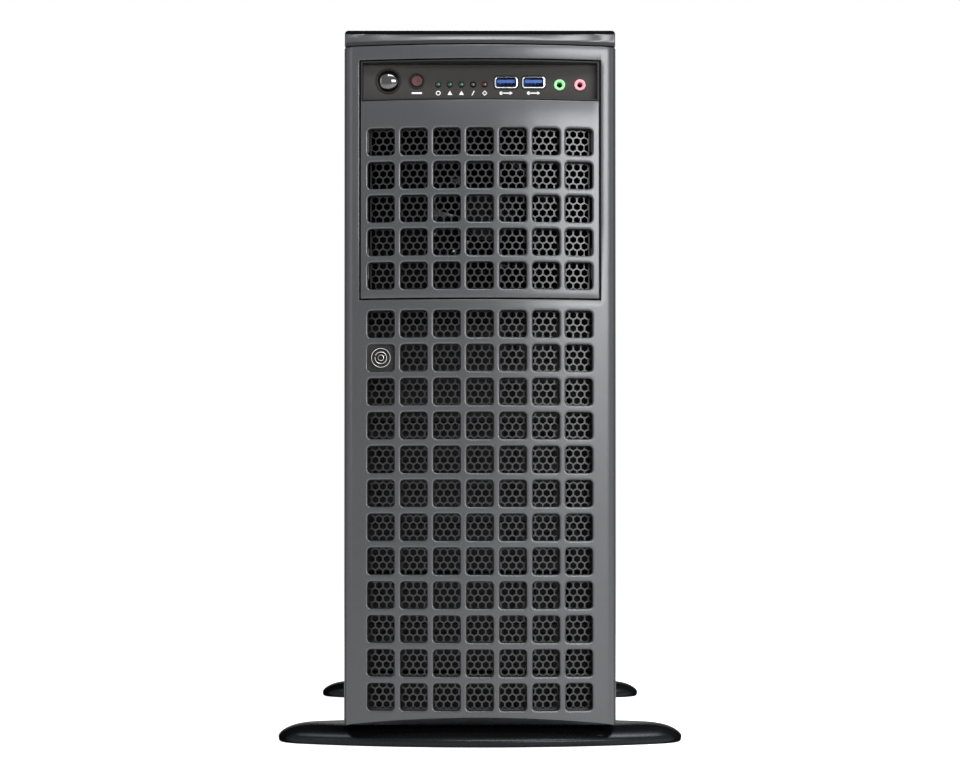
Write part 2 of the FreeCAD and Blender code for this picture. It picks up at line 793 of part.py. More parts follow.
def grille_plate(name, half, low, high, row_low, rows, row_pitch):
    """Bowed plate with a field of rounded square openings."""
    plate = new_body(name)
    drawn = sketch(plate, "XY", low)
    bow_plate(drawn, half, "crown", "bezel_radius", "grille_depth")
    pad(plate, drawn, "%s - (%s)" % (high, low))
    drawn = sketch(plate, "XZ", "5 - crown")
    rounded(drawn, "-3 * cell_pitch", row_low, "cell_size", "cell_radius")
    opening = pocket(plate, drawn, "bezel_depth + 10")
    spread(plate, opening, [("X_Axis", COLUMNS, "cell_pitch"), ("Z_Axis", rows, row_pitch)])
    return plate


grille = grille_plate("grille", "grille_half - fit_gap / 2", "grille_bottom + fit_gap / 2",
                      "grille_top - fit_gap / 2", "grille_low", GRILLE_ROWS, "grille_row_pitch")
profile = sketch(grille, "XZ", "-(plate_back)")
rounded(profile, "lock_x", "lock_z", "cell_size + 1", "cell_radius")
pad(grille, profile, "grille_depth - 1")
profile = sketch(grille, "XZ", "5 - crown")
ring(profile, "lock_x", "lock_z", "lock_radius + run_gap")
pocket(grille, profile, "bezel_depth + 10")
keep(grille, "bezel_grille")

mesh = new_body("mesh")
profile = sketch(mesh, "XY", "sill_top + fit_gap")
bow_plate(profile, "mesh_half", "crown + grille_depth + fit_gap",
          "bezel_radius - grille_depth - fit_gap", "mesh_sheet")
pad(mesh, profile, "grille_top + 1.5 - sill_top")
profile = sketch(mesh, "XZ", "5 - crown")
rounded(profile, "lock_x", "lock_z", "cell_size + 1.8", "cell_radius")
pocket(mesh, profile, "bezel_depth + 10")
keep(mesh, "bezel_mesh")


# Key lock: fixed barrel, turning plug with a round keyway, and the cam that catches the strike

barrel = rod("barrel_tube", "lock_radius", "lock_length", ("lock_x", "lock_front", "lock_z"))
barrel_bore = rod("barrel_bore", "plug_radius + run_gap", "lock_length + 2",
                  ("lock_x", "lock_front - 1", "lock_z"))
keep(cut("barrel", barrel, [barrel_bore]), "lock_barrel")

plug = rod("plug_rod", "plug_radius", "lock_length + 1", ("lock_x", "lock_front", "lock_z"))
keyway = cut("keyway", rod("key_ring", "plug_radius * 0.62", "5", ("lock_x", "lock_front - 1", "lock_z")),
             [rod("key_post", "plug_radius * 0.36", "7", ("lock_x", "lock_front - 2", "lock_z"))])
keep(cut("plug", plug, [keyway]), "lock_plug")

cam_bar = box("cam_bar", ("lock_x - cam_width / 2", "lock_back + 1", "lock_z - cam_length + cam_width / 2"),
              ("cam_width", "cam_sheet", "cam_length - cam_width / 2"))
cam_eye = rod("cam_eye", "cam_width / 2", "cam_sheet", ("lock_x", "lock_back + 1", "lock_z"))
cam_tip = rod("cam_tip", "cam_width / 2", "cam_sheet",
              ("lock_x", "lock_back + 1", "lock_z - cam_length + cam_width / 2"))
keep(join("cam", [cam_bar, cam_eye, cam_tip]), "lock_cam")


# Door hinge: fixed post with two knuckles, and the door's two pins

post = box("post", ("hinge_x - hinge_inset", "case_front - post_depth", "foot_height"),
           ("post_width", "post_depth", "bezel_top - foot_height"))
knuckles = []
bores = []
pins = []
for low, start in (("knuckle_low", "sill_top"), ("knuckle_high", "knuckle_high - 1")):
    knuckles.append(rod("knuckle", "hinge_inset", "knuckle_height", ("hinge_x", "hinge_y", low), "z"))
    knuckles.append(box("knuckle_neck", ("hinge_x - hinge_inset", "hinge_y", low),
                        ("hinge_inset + 0.5", "hinge_reach - post_depth", "knuckle_height")))
    bores.append(rod("knuckle_bore", "pin_radius + run_gap", "knuckle_height + 2",
                     ("hinge_x", "hinge_y", low + " - 1"), "z"))
    pins.append(rod("pin", "pin_radius", "knuckle_height + 1.4", ("hinge_x", "hinge_y", start), "z"))
keep(cut("hinge_side", join("post_knuckles", [post] + knuckles), bores), "hinge_post")
keep(group("pin_pair", pins), "hinge_pins")


# Bay module: plastic frame with the control recess on top and the cover's seat below

module = new_body("module")
profile = sketch(module, "XY", "module_bottom")
bow_front(profile, "module_half", "seat_crown", "seat_radius", "case_front")
pad(module, profile, "cover_top + slide_gap - module_bottom")
profile = sketch(module, "XY", "control_bottom")
bow_front(profile, "module_half", "crown", "bezel_radius", "case_front")
pad(module, profile, "control_height")
profile = sketch(module, "XZ", "5 - crown")
oblong(profile, "-(bay_half)", "bay_bottom", "bay_half", "bay_top")
oblong(profile, "0 - module_half + 1.2", "control_bottom + 0.8", "module_half - 1.2", "module_top - 0.8")
pocket(module, profile, "bezel_depth + 10")
keep(module, "module_frame")

cover = grille_plate("cover", "module_half", "module_bottom", "cover_top",
                     "cover_low", COVER_ROWS, "cover_row_pitch")
profile = sketch(cover, "XZ", "-(tab_back)")
for left in ("0 - bay_half + slide_gap", "bay_half - slide_gap - 2"):
    for low in ("bay_bottom + 10", "bay_top - 30"):
        oblong(profile, left, low, left + " + 2", low + " + 20")
pad(cover, profile, "14")
keep(cover, "bay_cover")

cover_mesh = new_body("cover_mesh")
profile = sketch(cover_mesh, "XY", "bay_bottom + fit_gap")
bow_plate(profile, "bay_half - 2 - 3 * slide_gap", "crown + grille_depth + fit_gap",
          "bezel_radius - grille_depth - fit_gap", "mesh_sheet")
pad(cover_mesh, profile, "bay_top - bay_bottom - 2 * fit_gap")
keep(cover_mesh, "bay_mesh")

cage_block = box("bay_block", ("-(bay_half + sheet)", "cage_front", "bay_bottom - sheet"),
                 ("2 * bay_half + 2 * sheet", "bay_cage_depth", "bay_top - bay_bottom + 2 * sheet"))
cage_room = box("bay_room", ("-(bay_half)", "cage_front - 1", "bay_bottom"),
                ("2 * bay_half", "bay_cage_depth + 2", "bay_top - bay_bottom"))
keep(cut("bay_tube", cage_block, [cage_room]), "bay_cage")


# Control panel with its buttons, lights and sockets

panel_body = new_body("panel")
profile = sketch(panel_body, "XZ", "-(panel_back)")
oblong(profile, "-(panel_half)", "panel_bottom", "panel_half", "panel_top")
pad(panel_body, profile, "panel_sheet")
profile = sketch(panel_body, "XZ", "1 - panel_front")
ring(profile, "power_x", "power_z", "power_radius + fit_gap")
ring(profile, "reset_x", "power_z", "reset_radius + fit_gap")
for i in range(LIGHTS):
    ring(profile, "light_x + %d * light_pitch" % i, "light_z", "light_radius + run_gap")
for i in range(2):
    middle = "usb_x + %d * usb_pitch" % i
    oblong(profile, middle + " - usb_width / 2 - run_gap", "usb_z - usb_height / 2 - run_gap",
           middle + " + usb_width / 2 + run_gap", "usb_z + usb_height / 2 + run_gap")
    ring(profile, "jack_x + %d * jack_pitch" % i, "jack_z", "jack_radius + run_gap")
pocket(panel_body, profile, "panel_sheet + 2")
keep(panel_body, "control_panel")


def button(name, x, radius, travel, proud):
    """Round push button: shallow dome in front, stop collar behind the panel, stem to the switch."""
    body = new_body(name + "_body")
    drawn = sketch(body, "XY", "0")
    tip = "0 - " + proud
    polygon(drawn, [
        ("0", tip), (radius + " * 0.55", tip + " + " + proud + " * 0.16"),
        (radius + " * 0.86", tip + " + " + proud + " * 0.42"), (radius, tip + " + " + proud + " * 0.8"),
        (radius, "panel_sheet + run_gap"), (radius + " + 1.5", "panel_sheet + run_gap"),
        (radius + " + 1.5", "panel_sheet + 1.6"), ("2", "panel_sheet + 1.6"),
        ("2", "panel_set - board_set - 0.4 - " + travel), ("0", "panel_set - board_set - 0.4 - " + travel),
    ])
    spin(body, drawn)
    place(body, (x, "panel_front", "power_z"))
    return body


keep(button("power", "power_x", "power_radius", "power_travel", "3"), "power_button")
keep(button("reset", "reset_x", "reset_radius", "reset_travel", "1.5"), "reset_button")

lights = []
for i in range(LIGHTS):
    x = "light_x + %d * light_pitch" % i
    stem = rod("light_stem", "light_radius", "panel_set - board_set", (x, "panel_front", "light_z"))
    dome = doc.addObject("Part::Sphere", "light_dome")
    bind(dome, "Radius", "light_radius")
    place(dome, (x, "panel_front", "light_z"))
    lights.append(join("light", [stem, dome]))
keep(group("light_row", lights), "status_lights")

shells = []
tongues = []
for i in range(2):
    x = "usb_x + %d * usb_pitch - usb_width / 2" % i
    shell = box("usb_block", (x, "panel_front - 0.6", "usb_z - usb_height / 2"),
                ("usb_width", "panel_set - board_set + 0.6", "usb_height"))
    room = box("usb_room", (x + " + usb_wall", "panel_front - 2", "usb_z - usb_height / 2 + usb_wall"),
               ("usb_width - 2 * usb_wall", "panel_set - board_set + 4", "usb_height - 2 * usb_wall"))
    shells.append(cut("usb_shell", shell, [room]))
    heel = box("usb_heel", (x + " + usb_wall", "board_front - 3", "usb_z - usb_height / 2 + usb_wall"),
               ("usb_width - 2 * usb_wall", "3", "usb_height - 2 * usb_wall"))
    blade = box("usb_blade", (x + " + usb_wall + 0.9", "panel_front + 1", "usb_z"),
                ("usb_width - 2 * usb_wall - 1.8", "panel_set - board_set - 2", "1.9"))
    tongues.append(join("usb_tongue", [heel, blade]))
keep(group("usb_pair", shells), "usb_shells")
keep(group("usb_inner", tongues), "usb_tongues")

for i, name in enumerate(("headphone_jack", "microphone_jack")):
    x = "jack_x + %d * jack_pitch" % i
    tube = rod("jack_tube", "jack_radius", "panel_set - board_set + 0.8", (x, "panel_front - 0.8", "jack_z"))
    bore = rod("jack_hole", "jack_bore", "jack_depth", (x, "panel_front - 0.8", "jack_z"))
    keep(cut(name + "_cut", tube, [bore]), name)

keep(box("control_pcb", ("0 - panel_half + 4", "board_front", "panel_bottom + 0.6"),
         ("2 * panel_half - 8", "board_sheet", "panel_top - panel_bottom - 1.2")), "control_board")


# Drive bay: square tube with ledges, eight carriers, drives, levers and the backplane

tube = cut("cage_tube",
           box("cage_block", ("-cage_width / 2", "cage_front", "floor_in"),
               ("cage_width", "cage_depth", "cage_top - floor_in")),
           [box("cage_room", ("-(cage_in)", "cage_front - 1", "bay_floor"),
                ("2 * cage_in", "cage_depth + 2", "8 * bay_pitch"))])
ledges = []
for i in range(1, BAYS):
    for left in ("-(cage_in) - sheet / 2", "cage_in + sheet / 2 - rail_width"):
        ledges.append(box("ledge", (left, "cage_front", "bay_floor + %d * bay_pitch - sheet" % i),
                          ("rail_width", "cage_depth", "sheet")))
keep(join("cage_ledges", [tube] + ledges), "drive_cage")

carriers = []
drives = []
levers = []
for i in range(BAYS):
    low = "bay_floor + %d * bay_pitch" % i
    face = box("carrier_face_block", ("-(carrier_half)", "case_front - carrier_reach", low),
               ("2 * carrier_half", "carrier_face", "carrier_height"))
    plate = box("carrier_floor", ("-(carrier_half)", "case_front - carrier_reach + carrier_face / 2", low),
                ("2 * carrier_half", "carrier_depth", "2 * sheet"))
    sides = [
        box("carrier_side", (left, "case_front - carrier_reach + carrier_face / 2", low),
            ("2 * sheet", "carrier_depth", "carrier_height * 0.6"))
        for left in ("-(carrier_half)", "carrier_half - 2 * sheet")
    ]
    vents = [
        box("carrier_vent", ("16 + %d * 12" % k, "case_front - carrier_reach - 1", low + " + 5"),
            ("8", "carrier_face + 2", "carrier_height - 10"))
        for k in range(4)
    ]
    carriers.append(cut("carrier", join("carrier_tray", [face, plate] + sides), vents))
    start = "case_front - carrier_reach + carrier_face + 1"
    drives.append(box("drive", ("-drive_width / 2", start, low + " + 2 * sheet"),
                      ("drive_width", "drive_depth", "drive_height")))
    levers.append(box("lever", ("8 - carrier_half", "case_front - carrier_reach - 3", low + " + 6"),
                      ("64", "3", "carrier_height - 12")))
keep(group("carrier_stack", carriers), "drive_carriers")
keep(group("drive_stack", drives), "hard_drives")
keep(group("lever_stack", levers), "carrier_levers")

board = box("backplane_board", ("-cage_width / 2", "cage_front + cage_depth", "floor_in"),
            ("cage_width", "2", "cage_top - floor_in"))
air = [
    box("backplane_air", ("20 - cage_width / 2", "cage_front + cage_depth - 1",
                          "bay_floor + %d * bay_pitch + 6" % i),
        ("cage_width - 62", "4", "bay_pitch - 14"))
    for i in range(BAYS)
]
keep(cut("backplane_cut", board, air), "backplane")


# Fans: square frame with a round duct, hub plate on crossed struts, and a bladed rotor on a shaft

def fan_frame(size, depth, hub, x, y, z):
    """Frame of one fan from the low front of its duct."""
    block = box("fan_block", (x + " - %s / 2" % size, y, z + " - %s / 2" % size), (size, depth, size))
    duct = rod("fan_duct", size + " / 2 - fan_rim", depth + " + 2", (x, y + " - 1", z))
    shell = cut("fan_shell", block, [duct])
    back = "%s + %s - 4" % (y, depth)
    disc = rod("fan_disc", hub, "4", (x, back, z))
    struts = [
        box("fan_strut", (x + " - %s / 2 + 1" % size, back, z + " - 2"), (size + " - 2", "4", "4")),
        box("fan_strut", (x + " - 2", back, z + " - %s / 2 + 1" % size), ("4", "4", size + " - 2")),
    ]
    whole = join("fan_whole", [shell, disc] + struts)
    return cut("fan_frame", whole, [rod("fan_bore", "shaft_radius + run_gap", "6", (x, back + " - 1", z))])


def blade_ring(size, depth, hub):
    """Twisted blades about +Y: each is ruled from a steep root section to a flatter tip section."""
    root = val(hub) - 1.5
    tip = val(size + " / 2 - fan_rim - fan_tip_gap")
    run = val(depth) - 8
    blades = []
    for radius, chord, lean in ((root, run * 0.82, 38), (tip, run * 0.95, 58)):
        lean = math.radians(lean)
        along = V(0, math.cos(lean), math.sin(lean)) * (chord / 2)
        thick = V(0, -math.sin(lean), math.cos(lean)) * 0.9
        reach = math.sqrt(radius ** 2 - (abs(along.z) + abs(thick.z)) ** 2)
        middle = V(reach, run / 2 + 1.5, 0)
        corners = [middle + along + thick, middle - along + thick,
                   middle - along - thick, middle + along - thick]
        blades.append(Part.makePolygon(corners + [corners[0]]))
    blade = Part.makeLoft(blades, True, True)
    turned = []
    for i in range(BLADES):
        copy = blade.copy()
        copy.rotate(V(0, 0, 0), V(0, 1, 0), 360.0 * i / BLADES)
        turned.append(copy)
    return Part.makeCompound(turned)


def fan_rotor(size, depth, hub, x, y, z):
    """Rotor of one fan: hub, shaft and blades."""
    ring_of_blades = doc.addObject("Part::Feature", "fan_blades")
    ring_of_blades.Shape = blade_ring(size, depth, hub)
    place(ring_of_blades, (x, y, z))
    hub_rod = rod("fan_hub_rod", hub, depth + " - 6", (x, y + " + 1", z))
    shaft = rod("fan_shaft", "shaft_radius", "5.5", (x, "%s + %s - 6" % (y, depth), z))
    return join("fan_rotor", [hub_rod, shaft, ring_of_blades])


frames = []
for i in range(FANS):
    spot = ("fan_x", "fan_front", "fan_low + %d * fan_pitch" % i)
    frames.append(fan_frame("fan_size", "fan_depth", "fan_hub", *spot))
    keep(fan_rotor("fan_size", "fan_depth", "fan_hub", *spot), "fan_rotor_%d" % (i + 1))
keep(group("fan_row", frames), "fan_frames")

frames = []
for i in range(REAR_FANS):
    spot = ("rear_fan_x", "rear_fan_front", "rear_fan_low + %d * rear_fan_pitch" % i)
    frames.append(fan_frame("rear_fan_size", "rear_fan_depth", "rear_fan_hub", *spot))
    keep(fan_rotor("rear_fan_size", "rear_fan_depth", "rear_fan_hub", *spot), "rear_fan_rotor_%d" % (i + 1))
keep(group("rear_fan_pair", frames), "rear_fan_frames")


# Main board on its standoffs, with heatsinks, memory and card slots

keep(box("main_pcb", ("mainboard_face", "mainboard_front", "mainboard_bottom"),
         ("board_sheet", "mainboard_depth", "mainboard_height")), "motherboard")

studs = []
for i in range(3):
    for k in range(3):
        studs.append(rod("stud", "standoff_radius", "standoff_height",
                         ("mainboard_back", "mainboard_front + mainboard_depth * %s" % (0.06 + 0.44 * i),
                          "mainboard_bottom + mainboard_height * %s" % (0.04 + 0.46 * k)), "x"))
keep(group("stud_set", studs), "board_standoffs")

sinks = []
banks = []
for i in range(2):
    start = "mainboard_front + 22 + %d * (heatsink_depth + 40)" % i
    low = "heatsink_low - heatsink_width / 2"
    foot = "mainboard_face - socket_height"
    socket = box("socket", (foot, start + " + 26", "heatsink_low - 24"), ("socket_height", "52", "48"))
    plate = box("sink_base", (foot + " - heatsink_base", start, low),
                ("heatsink_base", "heatsink_depth", "heatsink_width"))
    fins = [
        box("fin", (foot + " - heatsink_height", start,
                    low + " + %d * (heatsink_width - fin_sheet) / 14" % k),
            ("heatsink_height - heatsink_base / 2", "heatsink_depth", "fin_sheet"))
        for k in range(15)
    ]
    sinks.append(join("sink", [socket, plate] + fins))
    for side in ("-", "+"):
        for k in range(3):
            rise = "heatsink_low %s (heatsink_width / 2 + 8 + %d * memory_pitch)" % (side, k)
            middle = start + " + heatsink_depth / 2"
            holder = box("memory_holder", ("mainboard_face - 7", middle + " - memory_length / 2 - 4",
                                           rise + " - 3.2"),
                         ("7", "memory_length + 8", "6.4"))
            stick = box("memory_stick", ("mainboard_face - memory_height", middle + " - memory_length / 2",
                                         rise + " - memory_sheet / 2"),
                        ("memory_height - 3", "memory_length", "memory_sheet"))
            banks.append(join("memory", [holder, stick]))
keep(group("sink_pair", sinks), "cpu_heatsinks")
keep(group("memory_banks", banks), "memory_modules")

slots = []
boards = []
brackets = []
coolers = []
for i in range(SLOTS):
    rise = "slot_low + %d * slot_pitch" % i
    in_card = i < 2 * CARDS
    if i % 2 == 0 or not in_card:
        slots.append(box("slot", ("slot_top", "back_in - 150", rise + " - 3.8"), ("slot_height", "90", "7.6")))
        width = "bracket_width + slot_pitch" if in_card else "bracket_width"
        brackets.append(box("bracket", ("mainboard_face - bracket_length", "bracket_front",
                                        rise + " - bracket_width / 2"),
                            ("bracket_length - 2", "bracket_sheet", width)))
for i in range(CARDS):
    rise = "slot_low + %d * slot_pitch" % (2 * i)
    start = "bracket_front - card_length"
    boards.append(box("card_board", ("slot_top - card_height", start, rise + " - 0.8"),
                      ("card_height", "card_length", "1.6")))
    block = box("cooler_block", ("slot_top - card_height - 3", start + " - 2", rise + " + 0.8"),
                ("card_height - 2", "card_length", "cooler_depth"))
    grooves = [
        box("cooler_groove", ("slot_top - card_height - 6", start + " + 30 + %d * 56" % k,
                              rise + " + cooler_depth + 0.8 - 2"), ("card_height + 6", "6", "4"))
        for k in range(4)
    ]
    mouth = box("cooler_mouth", ("slot_top - card_height + 6", start + " - 3", rise + " + 6"),
                ("card_height - 24", "12", "cooler_depth - 10"))
    coolers.append(cut("cooler", block, grooves + [mouth]))
keep(group("cooler_row", coolers), "card_coolers")
keep(group("slot_row", slots), "card_slots")
keep(group("card_boards_set", boards), "card_boards")
keep(group("bracket_row", brackets), "slot_brackets")


# Ports at the back: thin shield with windows, network and USB sockets on the board's edge

shield = box("shield_sheet", ("mainboard_face - port_shield_width", "back_in - 1", "shield_low"),
             ("port_shield_width - 0.5", "1", "port_shield_height"))
shield_holes = []
lan_blocks = []
usb_blocks = []
for i in range(2):
    low = "shield_low + 74 + %d * 22" % i
    lan = box("lan_block", ("mainboard_face - lan_height", "case_rear - lan_depth", low),
              ("lan_height", "lan_depth", "lan_width"))
    lan_room = box("lan_room", ("mainboard_face - lan_height + 2.2", "case_rear - 13", low + " + 2"),
                   ("lan_height - 4.4", "14", "lan_width - 4"))
    lan_blocks.append(cut("lan", lan, [lan_room]))
    shield_holes.append(box("lan_window", ("mainboard_face - lan_height - fit_gap", "back_in - 2",
                                           low + " - fit_gap"),
                            ("lan_height + 2 * fit_gap", "3", "lan_width + 2 * fit_gap")))
    low = "shield_low + 30 + %d * 20" % i
    stack = box("stack_block", ("mainboard_face - 16", "case_rear - 18", low), ("16", "18", "14.5"))
    rooms = [
        box("stack_room", ("mainboard_face - 16 + %s" % (1.2 + 7.6 * k), "case_rear - 12", low + " + 1"),
            ("5.6", "13", "12.5"))
        for k in range(2)
    ]
    usb_blocks.append(cut("usb_stack", stack, rooms))
    shield_holes.append(box("stack_window", ("mainboard_face - 16 - fit_gap", "back_in - 2",
                                             low + " - fit_gap"),
                            ("16 + 2 * fit_gap", "3", "14.5 + 2 * fit_gap")))
keep(cut("shield", shield, shield_holes), "port_shield")
keep(group("socket_row", lan_blocks + usb_blocks), "rear_sockets")


# Power: shelf with divider, power board, and two slide-in supplies with handle and latch

shelf = box("shelf", ("supply_left - sheet", "supply_front - 4", "shelf_bottom"),
            ("right_in - supply_left + sheet", "back_in - supply_front + 4", "sheet"))
walls = [
    box("shelf_wall", (left, "supply_front - 4", "shelf_bottom"),
        ("sheet", "back_in - supply_front + 4", "top_in - shelf_bottom"))
    for left in ("supply_left - sheet", "supply_left + supply_width + 2 * slide_gap")
]
keep(join("power_shelf", [shelf] + walls), "power_cage")

keep(box("power_pcb", ("supply_left - sheet", "supply_front - 6", "shelf_bottom"),
         ("right_in - supply_left + sheet", "2", "top_in - shelf_bottom")), "power_board")

for i in range(2):
    left = "supply_left + slide_gap + %d * (supply_width + sheet + 2 * slide_gap)" % i
    low = "supply_floor + slide_gap / 3"
    block = box("supply_block", (left, "supply_front", low), ("supply_width", "supply_depth", "supply_height"))
    inlet = box("inlet", (left + " + 6", "case_rear - inlet_depth",
                          low + " + (supply_height - inlet_height) / 2"),
                ("inlet_width", "inlet_depth + 2", "inlet_height"))
    blades = [
        box("inlet_pin", (left + " + 6 + inlet_width / 2 - 1 + %d" % across, "case_rear - inlet_depth - 2",
                          low + " + supply_height / 2 - 2 + %d" % rise), ("2", "inlet_depth - 5", "4"))
        for across, rise in ((-7, -3), (0, 3), (7, -3))
    ]
    grip = left + " + supply_width - handle_width - 2"
    posts = [
        box("handle_post", (at, "case_rear - 2", low + " + 4"),
            ("handle_bar", "rear_reach + 2 - sheet / 2", "handle_bar"))
        for at in (grip, grip + " + handle_width - handle_bar - latch_width - 2")
    ]
    bar = box("handle_grip", (grip, "case_rear + rear_reach - handle_bar", low + " + 4"),
              ("handle_width - latch_width - 2", "handle_bar", "handle_bar"))
    case = cut("supply_case", block, [inlet])
    keep(join("supply", [case] + blades + posts + [bar]), "power_supply_%d" % (i + 1))
    tab = box("latch_tab", (left + " + supply_width - latch_width - 4", "case_rear", low + " + 14"),
              ("2", "latch_reach", "16"))
    heel = box("latch_heel", (left + " + supply_width - latch_width - 4", "case_rear", low + " + 14"),
               ("latch_width", "2", "16"))
    keep(join("latch", [tab, heel]), "supply_latch_%d" % (i + 1))


# Finished assembly: every piece is checked, then written to its own file

doc.recompute()
for item in doc.Objects:
    if "Invalid" in item.State or "Error" in item.State:
        raise RuntimeError("piece not built: %s %s" % (item.Label, item.State))
os.makedirs("parts", exist_ok=True)
for node in nodes:
    shape = node.Shape
    if shape.isNull() or not shape.isValid() or not shape.Solids:
        raise RuntimeError("bad shape: " + node.Label)
    shape.exportStep("parts/%s.step" % node.Label)
print("%d pieces written" % len(nodes))
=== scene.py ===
"""Looks of a tower server for accelerator cards: dressed pieces, finishes, studio and camera.

Shapes are written in millimetres, with x across, y into the depth and z up; lamps, floor and camera
are written in metres.
"""

import json
import logging
import math
from dataclasses import dataclass
from enum import Enum
from typing import Iterable, Sequence

import bmesh
import bpy
import numpy as np
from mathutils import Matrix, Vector

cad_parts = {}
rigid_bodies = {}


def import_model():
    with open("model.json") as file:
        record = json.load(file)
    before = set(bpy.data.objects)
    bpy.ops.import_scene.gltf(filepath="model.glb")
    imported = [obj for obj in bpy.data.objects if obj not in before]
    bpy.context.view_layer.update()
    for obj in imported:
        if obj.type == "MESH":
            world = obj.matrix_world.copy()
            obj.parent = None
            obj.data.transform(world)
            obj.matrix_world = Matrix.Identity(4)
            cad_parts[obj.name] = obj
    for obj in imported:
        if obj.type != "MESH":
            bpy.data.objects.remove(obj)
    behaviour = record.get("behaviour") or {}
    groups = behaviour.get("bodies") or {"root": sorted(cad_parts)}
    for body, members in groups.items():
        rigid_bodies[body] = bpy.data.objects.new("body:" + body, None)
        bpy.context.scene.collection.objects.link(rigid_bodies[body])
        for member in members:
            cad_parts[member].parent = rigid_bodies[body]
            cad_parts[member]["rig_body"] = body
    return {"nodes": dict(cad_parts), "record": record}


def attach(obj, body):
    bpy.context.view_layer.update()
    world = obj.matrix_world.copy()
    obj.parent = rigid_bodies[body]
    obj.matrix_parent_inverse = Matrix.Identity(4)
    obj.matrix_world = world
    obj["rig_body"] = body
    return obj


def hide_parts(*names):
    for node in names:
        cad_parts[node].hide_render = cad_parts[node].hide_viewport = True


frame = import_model()

LOG = logging.getLogger("tower")
Pair = tuple[float, float]
Triple = tuple[float, float, float]

# A millimetre in metres; the distance at which points weld and the length of edges that are
# dropped, both in metres; the slack of comparisons, and the radius that stands for the axis of a
# turned piece.
MM = 0.001
WELD = 2e-6
SLIVER = 1e-7
NEAR = 1e-6
AXIS = 0.02

QUARTER = math.pi / 2
ROUND = 2.0 * math.pi
WHITE = (1.0, 1.0, 1.0, 1.0)

# Noise of the finishes: scale and share of the broad one, the range that both fill, how far
# roughness strays from its written value, and the height of the bump in metres.
BROAD_SCALE = 18.0
BROAD_SHARE = 0.35
GRAIN_RANGE = (0.35, 1.0)
ROUGH_SPREAD = 0.12
BUMP_HEIGHT = 0.0002


class Ray(Enum):
    """Kinds of ray that see the studio's white background."""

    CAMERA = "Is Camera Ray"
    GLOSSY = "Is Glossy Ray"
    TRANSMISSION = "Is Transmission Ray"


class Grain(Enum):
    """Stretch of a finish's noise: even, or drawn out along the depth as on brushed metal."""

    EVEN = (1.0, 1.0, 1.0)
    BRUSHED = (1.0, 0.06, 1.0)


# Finishes


def set_node(
    tree: bpy.types.NodeTree, node: bpy.types.Node, values: dict | None = None,
    links: dict | None = None,
) -> None:
    """Writes a node's values and joins its inputs.

    Args:
        tree: Node tree that it is in.
        node: The node.
        values: Written values by input.
        links: Sockets that come in, by input.
    """
    for key, value in (values or {}).items():
        node.inputs[key].default_value = value
    for key, socket in (links or {}).items():
        tree.links.new(socket, node.inputs[key])


def add_node(
    tree: bpy.types.NodeTree, kind: str, values: dict | None = None, links: dict | None = None,
    **settings: str,
) -> bpy.types.Node:
    """Adds a shader node.

    Args:
        tree: Node tree that takes it.
        kind: Its kind.
        values: Written values by input.
        links: Sockets that come in, by input.
        settings: Properties of the node.

    Returns:
        The node.
    """
    node = tree.nodes.new("ShaderNode" + kind)
    for key, setting in settings.items():
        setattr(node, key, setting)
    set_node(tree, node, values, links)
    return node


@dataclass(frozen=True)
class Finish:
    """One procedural finish: a base colour with grain in its colour, roughness and bump."""

    name: str
    colour: Triple
    roughness: float = 0.5
    metallic: float = 0.0
    specular: float = 0.5
    grain: Grain = Grain.EVEN
    grain_size: float = 0.0006
    contrast: float = 0.12
    bump: float = 0.1
    edge_tint: float = 1.0

    def material(self) -> bpy.types.Material:
        """Builds the node tree, or returns the one already built.

        Returns:
            The material: two noises on Object coordinates vary colour and roughness about
            the written values, and the finer one is also the height of a bump.
        """
        found = bpy.data.materials.get("look_" + self.name)
        if found is not None:
            return found
        made = bpy.data.materials.new("look_" + self.name)
        made.use_nodes = True
        tree = made.node_tree
        place = add_node(tree, "TexCoord")
        stretch = add_node(
            tree, "Mapping", {"Scale": self.grain.value}, {"Vector": place.outputs["Object"]})
        fine, broad = (
            add_node(tree, "TexNoise", {"Scale": scale, "Detail": detail},
                     {"Vector": stretch.outputs["Vector"]})
            for scale, detail in ((1.0 / self.grain_size, 3.0), (BROAD_SCALE, 2.0))
        )
        both = add_node(
            tree, "Math", {1: BROAD_SHARE}, {0: broad.outputs["Fac"], 2: fine.outputs["Fac"]},
            operation="MULTIPLY_ADD")
        shade = add_node(
            tree, "MapRange", {"From Min": GRAIN_RANGE[0], "From Max": GRAIN_RANGE[1]},
            {"Value": both.outputs["Value"]})
        grain = shade.outputs["Result"]
        tones = {"A": self._tone(1.0 - self.contrast), "B": self._tone(1.0 + self.contrast)}
        colour = add_node(tree, "Mix", tones, {"Factor": grain}, data_type="RGBA")
        spread = {"To Min": max(0.02, self.roughness * (1.0 - ROUGH_SPREAD)),
                  "To Max": min(1.0, self.roughness * (1.0 + ROUGH_SPREAD))}
        rough = add_node(tree, "MapRange", spread, {"Value": grain})
        relief = add_node(
            tree, "Bump", {"Strength": self.bump, "Distance": BUMP_HEIGHT},
            {"Height": fine.outputs["Fac"]})
        set_node(
            tree, tree.nodes["Principled BSDF"],
            {"Metallic": self.metallic, "Specular IOR Level": self.specular,
             "Specular Tint": (*[self.edge_tint] * 3, 1.0)},
            {"Base Color": colour.outputs["Result"], "Roughness": rough.outputs["Result"],
             "Normal": relief.outputs["Normal"]})
        return made

    def _tone(self, factor: float) -> tuple[float, float, float, float]:
        """Gives the base colour times a factor, with alpha."""
        return (*(min(1.0, part * factor) for part in self.colour), 1.0)


